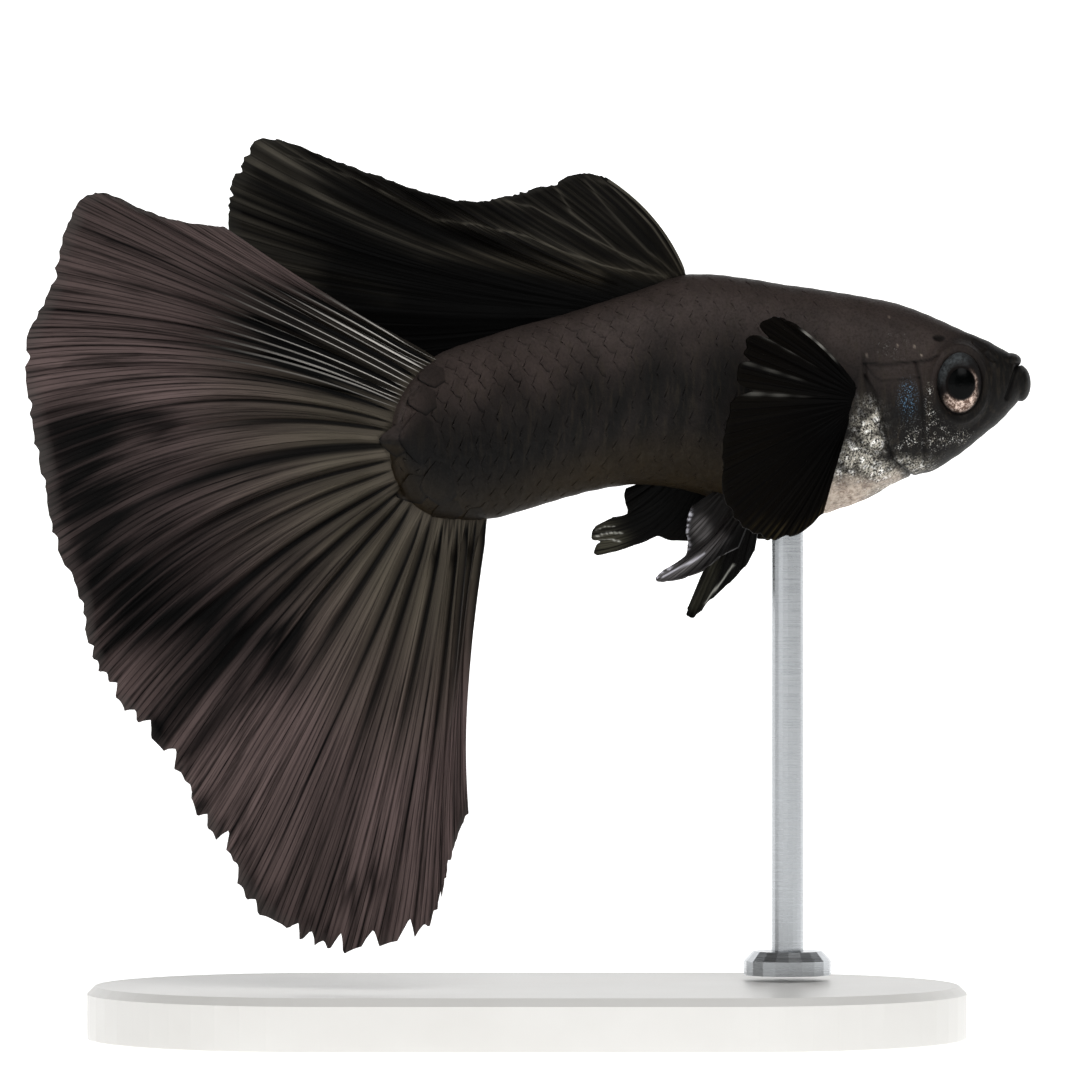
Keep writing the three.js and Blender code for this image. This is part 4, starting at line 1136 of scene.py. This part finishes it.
# Dark bands and patches of the tail, partly its own pigment and partly painted shade in its folds: strength,
# width, and x and z pairs.
CAUDAL_DARK = [
    (0.8, 0.8, [[-23.6, 30.9], [-20.6, 31.6], [-18.0, 30.7]]),
    (0.9, 1.3, [[-24.4, 29.6], [-22.0, 30.2]]),
    (0.97, 2.2, [[-21.4, 30.0], [-21.5, 28.2], [-20.9, 25.4], [-19.9, 23.2], [-18.4, 21.8]]),
    (0.85, 2.0, [[-22.8, 28.8], [-22.3, 25.4], [-21.2, 22.4]]),
    (0.7, 2.6, [[-18.6, 27.0], [-17.2, 23.6]]),
    (0.45, 3.0, [[-16.5, 28.5], [-14.5, 23.0]]),
    (0.97, 1.5, [[-19.8, 22.0], [-17.1, 21.3], [-14.4, 21.0], [-12.2, 19.9]]),
    (0.5, 2.6, [[-17.5, 20.5], [-14.5, 19.5]]),
    (0.9, 1.0, [[-14.7, 19.8], [-16.6, 17.9], [-18.3, 15.9]]),
    (0.85, 0.6, [[-11.9, 19.1], [-14.2, 17.35], [-17.1, 14.1]]),
    (0.6, 0.9, [[-10.7, 23.8], [-13.7, 21.3]]),
    (0.6, 0.2, [[-20.2, 39.9], [-19.0, 39.7]]),
    (0.5, 0.25, [[-22.6, 34.0], [-20.3, 34.3]]),
    (0.75, 0.75, [[-8.6, 8.6], [-7.9, 7.8]]),
    (0.6, 0.7, [[-12.4, 35.4], [-11.2, 34.1], [-9.5, 32.8]]),
    (0.75, 0.6, [[-4.3, 25.6], [-2.0, 25.2]]),
    (0.5, 0.5, [[-15.9, 12.4], [-14.4, 9.9], [-13.1, 7.5]]),
    (0.45, 0.45, [[-10.7, 6.2], [-9.0, 5.0]]),
]
# Painted highlights along the glossy folds of the back fin, and painted shade in its deep hollows.
DORSAL_LIGHT = [
    (0.45, 0.1, [[3.1, 43.7], [4.4, 42.95], [6.3, 41.1], [7.8, 38.7]]),
    (0.35, 0.12, [[2.9, 43.45], [4.0, 42.0], [6.1, 39.8], [7.6, 38.55]]),
    (0.45, 0.13, [[1.5, 42.95], [2.2, 41.8], [3.7, 40.6], [4.8, 39.6], [7.0, 38.5]]),
    (0.55, 0.14, [[-1.9, 42.6], [0.35, 42.0], [2.6, 40.8], [4.8, 39.7], [7.0, 38.55]]),
    (
        0.7,
        0.22,
        [[-7.4, 42.95], [-6.3, 42.4], [-4.7, 41.5], [-2.6, 41.2], [-0.1, 40.6], [3.7, 39.1], [7.0, 38.5]],
    ),
    (
        0.85,
        0.4,
        [[-13.4, 45.3], [-11.6, 43.8], [-10.0, 42.3], [-7.9, 41.1], [-5.1, 39.9], [-2.4, 39.5], [3.4, 38.6]],
    ),
    (0.75, 0.9, [[-15.0, 44.0], [-13.2, 44.8], [-12.5, 44.4]]),
    (0.85, 1.0, [[-15.2, 41.2], [-13.6, 40.2], [-11.2, 39.0]]),
    (0.3, 0.6, [[-10.4, 39.0], [-7.0, 37.6]]),
    (0.45, 0.25, [[-12.2, 44.8], [-9.6, 43.9], [-6.6, 42.6]]),
]
DORSAL_DARK = [
    (0.9, 0.7, [[-13.6, 43.6], [-11.8, 42.0], [-9.4, 40.4], [-6.5, 38.8], [-2.0, 38.2]]),
    (0.6, 0.4, [[-5.8, 42.6], [-2.6, 42.2], [0.0, 41.4]]),
    (0.7, 0.18, [[-14.5, 40.7], [-12.0, 39.8], [-10.0, 39.0]]),
    (0.5, 0.3, [[4.6, 41.8], [6.3, 39.9]]),
]
# Gaps between the rays of a breast fin: share across, width and strength of the light line.
BREAST_FIN_GAPS = [(0.0, 0.004, 0.6), (0.176, 0.003, 0.2), (0.272, 0.004, 0.2), (0.352, 0.005, 0.3)]
# Painted glints at the fronts and tips of the small lower fins: strength, width and line.
FRONT_MARGIN = [[8.22, 26.7], [8.08, 26.2], [7.99, 25.7], [8.03, 25.3], [8.1, 25.0], [8.02, 24.7]]
TIP_MARGIN = [[7.95, 24.5], [7.35, 24.0], [6.75, 23.62], [6.45, 23.35]]
ROD_GLINTS = [
    (1.0, 0.035, [[3.4, 25.42], [4.1, 25.62], [4.8, 25.62]]),
    (1.0, 0.035, [[3.45, 25.24], [4.1, 25.3], [4.7, 25.2]]),
    (0.8, 0.03, [[3.5, 25.75], [3.9, 25.95], [4.4, 25.95]]),
]


def uneven(u):
    """Spreads the pleats unevenly, as they fall in a living fin."""
    return u + 0.012 * np.sin(19.5 * u + 1) + 0.006 * np.sin(46 * u + 2) + 0.0025 * np.sin(107 * u)


def blade(u):
    """A saw profile: each blade rises slowly and drops sharply behind the next."""
    t = (uneven(u) * 23) % 1
    return np.where(t < 0.9, t / 0.9, (1 - t) / 0.1) - 0.5


def caudal_billow(u, v):
    cup = np.clip(np.cos(np.pi * np.clip(u, 0, 1) / 2), 0, 1) ** 0.7 * (v / 0.3) * np.exp(1 - v / 0.3)
    return -2.2 * cup - 1.0 * np.sin(2 * np.pi * (3.4 * u + 0.1)) * np.abs(v) ** 1.5


def caudal_folds(u, v):
    """Broad overlapping blades near the root that run out into fine rays."""
    blades = 0.42 * blade(u) * smooth(0.0, 0.12, v) * smooth(0.85, 0.3, v)
    rays = 0.1 * smooth(0.05, 0.25, v) * pleat(uneven(u), 39)
    fine = 0.06 * smooth(0.3, 0.6, v) * pleat(uneven(u), 87)
    return blades + rays + fine


def caudal_paint(surface, u, v):
    """Mauve membrane with painted light and shade across its blades, black fold bands that are partly pigment
    and partly painted shade, and pale bare rays at the top of the root.
    """
    near = smooth(0.7, 0.25, v)
    saw = blade(u)
    light = 0.62 + 0.32 * smooth(0.35, 0.65, v) + 0.12 * np.sin(17 * u + 2.5 * v)
    # painted light and shade on the blades near the root: each is lit along its rise and pale at its crest
    light = light + 0.8 * saw * smooth(0.02, 0.1, v) * near + 0.5 * smooth(0.36, 0.5, saw) * near
    light = light - 0.4 * smooth(0.33, 0.08, u) * smooth(0.2, 0.6, v)
    light = light - 0.15 * spot(u, v, 0.72, 0.85, 0.1, 0.3, 0.8)
    # the bands run out along the rays, so each ray reads them a little further in or out
    own = 0.5 * np.sin(397 * u + 2 * np.sin(61 * u)) + 0.3 * np.sin(233 * u) + 0.5 * np.sin(89 * u + 1)
    moved = surface(u, np.clip(v + 0.065 * own, 0, 1))
    x, z = moved[:, 0], moved[:, 2]
    clear = 1.0
    for strength, width, line in CAUDAL_DARK:
        clear = clear * (1 - strength * stroke(x, z, line, width))
    pale_ray = smooth(0.6, 0.95, np.sin(311 * u + 3 * np.sin(37 * u)))
    dark = (1 - clear) * (1 - 0.22 * smooth(0.93, 0.99, v)) * (1 - 0.22 * pale_ray)
    # painted shade in the narrow groove where each blade drops behind the next
    dark = dark + 0.95 * smooth(-0.3, -0.44, saw) * smooth(0.75, 0.2, v) * smooth(0.0, 0.05, v)
    torn = smooth(0.9, 0.985, v) * smooth(0.45, 0.6, u)
    dark = dark + 0.5 * torn * smooth(0.1, 0.8, np.sin(143 * u + 3 * np.sin(29 * u)))
    bare = smooth(0.31, 0.22, u) * smooth(0.6, 0.12, v) * smooth(0.0, 0.05, v)
    dark = dark + 0.8 * smooth(0.34, 0.22, u) * smooth(0.72, 0.3, v) * smooth(0.0, 0.06, v)
    return light, dark, bare


def dorsal_billow(u, v):
    return 0.6 * np.sin(2 * np.pi * (1.7 * u + 0.15)) * v


def dorsal_folds(u, v):
    """Pleats over the rays, with four fine ones on each further out."""
    return 0.13 * smooth(0.02, 0.25, v) * pleat(u, 15) + 0.04 * smooth(0.3, 0.6, v) * pleat(u, 60)


def dorsal_paint(surface, u, v):
    """Olive black membrane with painted highlights on its glossy folds and painted shade in its hollows,
    greyer at its rear end.
    """
    points = surface(u, v)
    x, z = points[:, 0], points[:, 2]
    own = 0.5 + 0.5 * np.sin(251 * u + 2 * np.sin(43 * u))
    light, white = np.zeros_like(u), 0.25 * smooth(0.012, 0.0, u)
    # painted highlights along the glossy folds, with a thin white highlight line on the narrower ones
    for strength, width, line in DORSAL_LIGHT:
        light = np.maximum(light, strength * stroke(x, z, line, width * 1.3) * (0.5 + 0.5 * own))
        if width < 0.3:
            away = smooth(0.0, 0.35, v) * smooth(1.0, 0.8, v)
            white = np.maximum(white, 0.26 * strength * stroke(x, z, line, 0.04) * (0.3 + 0.7 * away))
    light = light + 0.2 * own * smooth(0.5, 0.35, u) * smooth(0.3, 0.7, v)
    light = light + 0.35 * own * smooth(0.55, 0.66, u) * smooth(0.9, 0.78, u) * smooth(0.6, 0.9, v)
    dark = 0.95 * smooth(0.3, 0.75, u) * smooth(0.97, 0.7, v)
    # painted shade in the hollows
    for strength, width, line in DORSAL_DARK:
        dark = np.maximum(dark, strength * stroke(x, z, line, width))
    return 0.8 * light, dark * (1 - np.clip(light, 0, 1)), white


def even_folds(depth, count):
    """Pleats of one depth over all the rays of a small fin."""
    return lambda u, v: depth * smooth(0.02, 0.25, v) * pleat(u, count)


def pectoral_paint(surface, u, v):
    """Black with a painted brown sheen in streaks at the lower rim and thin light lines along the narrow
    gaps.
    """
    streaks = smooth(0.8, 0.93, v) * smooth(0.68, 0.8, u) * (0.5 + 0.5 * np.sin(260 * u)) ** 3
    dark = 0.75 * smooth(0.9, 0.1, v)
    pale = 0.0
    for share, width, strength in BREAST_FIN_GAPS:
        own = 0.6 + 0.4 * np.sin(31 * v + 40 * share)
        thin = np.exp(-(((u - share) / width) ** 2))
        pale = pale + strength * own * thin * smooth(0.3, 0.7, v) * smooth(1.0, 0.9, v)
    return 0.04 + 0.9 * streaks, dark, pale


def pelvic_paint(surface, u, v):
    """Dark purple brown membrane with a painted grey highlight down its pointed tip, painted blue white
    glints beaded along its margin and a painted highlight line through its middle.
    """
    points = surface(u, v)
    x, z = points[:, 0], points[:, 2]
    beads = smooth(-0.8, 0.9, np.sin(21 * z + 5 * x) + 0.8 * np.sin(37 * z - 9 * x) + 0.5 * np.sin(9 * z + 2))
    # painted glints beaded along the front and upper margins, and a painted highlight line through the middle
    front = stroke(x, z, FRONT_MARGIN, 0.09)
    upper = stroke(x, z, TIP_MARGIN, 0.05)
    middle = stroke(x, z, [[8.9, 24.55], [8.3, 24.15], [7.5, 23.75], [6.8, 23.4]], 0.055)
    # a painted grey highlight down the tip
    gloss = 0.9 * stroke(x, z, [[6.6, 23.3], [7.8, 23.8], [9.0, 24.5], [9.9, 25.3]], 0.26)
    gloss = gloss + 0.75 * spot(x, z, 8.75, 25.8, 0.45, 0.55, 0.8)
    own = 0.85 + 0.15 * np.sin(90 * u + 9 * v)
    white = np.clip((front + upper) * beads + 0.75 * middle, 0, 1)
    return gloss * own, 0.8 * smooth(0.6, 1.0, u) * smooth(0.3, 0.8, v), white


def dark_pelvic_paint(surface, u, v):
    """Olive black with a painted highlight line along its front edge and a painted grey highlight at the web.
    """
    points = surface(u, v)
    x, z = points[:, 0], points[:, 2]
    line = stroke(x, z, [[9.0, 22.05], [9.35, 22.55], [9.95, 23.3], [10.45, 24.0]], 0.045)
    gloss = 0.55 * stroke(x, z, [[8.5, 21.9], [9.3, 23.4], [9.6, 24.6]], 0.26)
    return gloss, 0.1 + 0.0 * u, 0.65 * line


def rear_paint(surface, u, v):
    """Black, turning olive towards its forked tip, which has a few light glints along the rod."""
    points = surface(u, v)
    x, z = points[:, 0], points[:, 2]
    tip = spot(x, z, 3.9, 25.3, 1.1, 0.8, 0.9)
    broken = smooth(-0.2, 0.7, np.sin(26 * x + 9 * z) + 0.5 * np.sin(47 * x))
    glints = np.clip(strokes(x, z, ROD_GLINTS) * (0.25 + 0.75 * broken), 0, 1)
    return 0.8 * tip, 0.7 * smooth(1.0, 0.6, v) * (1 - tip), 0.85 * glints


def fins():
    fin(
        "tail_fin",
        "caudal_fin",
        (CAUDAL_ROOT, CAUDAL_RIM),
        CAUDAL,
        caudal_paint,
        cells=(520, 88),
        billow=caudal_billow,
        folds=caudal_folds,
        torn=(78, lambda u: 0.014 + 0.04 * smooth(0.42, 0.68, u) * smooth(1.0, 0.9, u)),
        seed=3,
        thick=0.14,
    )
    fin(
        "back_fin",
        "dorsal_fin",
        (DORSAL_ROOT, DORSAL_RIM),
        DORSAL,
        dorsal_paint,
        cells=(430, 108),
        billow=dorsal_billow,
        folds=dorsal_folds,
        torn=(58, 0.02),
        seed=5,
        thick=0.13,
    )
    for side in ("right", "left"):
        fin(
            "breast_fin_" + side,
            "pectoral_fin_" + side,
            (PECTORAL_ROOT, PECTORAL_RIM),
            PECTORAL,
            pectoral_paint,
            cells=(200, 90),
            billow=lambda u, v: -0.35 * np.sin(np.pi * v) + 0.25 * v * np.sin(6 * np.pi * u),
            folds=even_folds(0.05, 22),
            torn=(24, 0.035),
            seed=11,
            thick=0.12,
            slits=[(0.165, 0.16, 0.014), (0.262, 0.09, 0.01), (0.345, 0.13, 0.01)],
            mirrored=side == "left",
        )
    for side, outline, material, paint, seed in (
        ("right", (PELVIC_RIGHT_ROOT, PELVIC_RIGHT_RIM), PELVIC, pelvic_paint, 13),
        ("left", (PELVIC_LEFT_ROOT, PELVIC_LEFT_RIM), PELVIC_DARK, dark_pelvic_paint, 17),
    ):
        fin(
            "belly_fin_" + side,
            "pelvic_fin_" + side,
            outline,
            material,
            paint,
            cells=(120, 70),
            billow=lambda u, v: 0.12 * np.sin(2.2 * np.pi * u) * v,
            folds=even_folds(0.07, 12),
            torn=(16, 0.012),
            seed=seed,
            thick=0.13,
        )
    fin(
        "rear_fin",
        "gonopodium",
        (GONOPODIUM_ROOT, GONOPODIUM_RIM),
        PELVIC_DARK,
        rear_paint,
        cells=(120, 70),
        billow=lambda u, v: 0.15 * np.sin(2 * np.pi * u) * v,
        folds=even_folds(0.06, 11),
        torn=(18, 0.012),
        seed=19,
        thick=0.14,
    )


# Stand
def stand():
    for node, material in (("stand_rod", steel_material()), ("stand_base", acrylic_material())):
        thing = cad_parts[node]
        thing.data.materials.clear()
        thing.data.materials.append(material)


# Studio
SWEEP_WIDTH = 7200
SWEEP_RUN = 5400
SWEEP_FRONT = -600
BEND_AT = 2400
SWEEP_BEND = 600
FLOOR_DROP = 0.02
CAMERA_AWAY = 400
VIEW_WIDTH = 54


def paper_sweep():
    """A floor, a quarter round and a wall behind."""
    lone()
    bpy.ops.mesh.primitive_grid_add(x_subdivisions=2, y_subdivisions=60, size=1)
    sweep = named("paper_sweep")
    flat = points_of(sweep)
    run = (flat[:, 1] + 0.5) * SWEEP_RUN
    turn = np.clip((run - BEND_AT) / SWEEP_BEND, 0, np.pi / 2)
    beyond = np.maximum(run - BEND_AT - SWEEP_BEND * np.pi / 2, 0)
    y = SWEEP_FRONT + np.minimum(run, BEND_AT) + SWEEP_BEND * np.sin(turn)
    z = SWEEP_BEND * (1 - np.cos(turn)) + beyond - FLOOR_DROP
    place(sweep, np.stack([flat[:, 0] * SWEEP_WIDTH, y, z], axis=-1))
    smoothed(sweep, 60)
    sweep.data.materials.append(paper_material())


def studio():
    scene = bpy.context.scene
    scene.view_settings.view_transform = "Standard"
    paper_sweep()
    world = bpy.data.worlds.new("studio")
    scene.world = world
    world.use_nodes = True
    background = world.node_tree.nodes["Background"]
    background.inputs["Color"].default_value = linear("#ffffff")
    background.inputs["Strength"].default_value = 0.14
    # each lamp: place and size in metres, and power in watts
    for name, where, size, power in (
        ("key", (0.12, -0.38, 0.42), 0.35, 1.35),
        ("fill", (-0.3, -0.35, 0.12), 0.4, 0.3),
    ):
        lone()
        bpy.ops.object.light_add(type="AREA", location=where)
        lamp = bpy.context.object
        lamp.name = name + "_light"
        lamp.data.size = size
        lamp.data.energy = power
        # it shines at the middle of the fish
        way = np.array([0.0, 0.0, 0.028]) - np.array(where)
        flat_way = math.hypot(way[0], way[1])
        lamp.rotation_euler = (math.atan2(flat_way, -way[2]), 0, math.atan2(-way[0], way[1]))
    lone()
    seen_from = (0.00065, -CAMERA_AWAY * MM, 0.02525)
    bpy.ops.object.camera_add(location=seen_from, rotation=(math.pi / 2, 0, 0))
    camera = bpy.context.object
    camera.data.sensor_width = 36
    camera.data.lens = camera.data.sensor_width * CAMERA_AWAY / VIEW_WIDTH
    camera.data.clip_start = 0.01
    camera.data.clip_end = 10
    scene.camera = camera


skin()
scales()
root_scales()
eye("right")
eye("left")
fins()
stand()
studio()
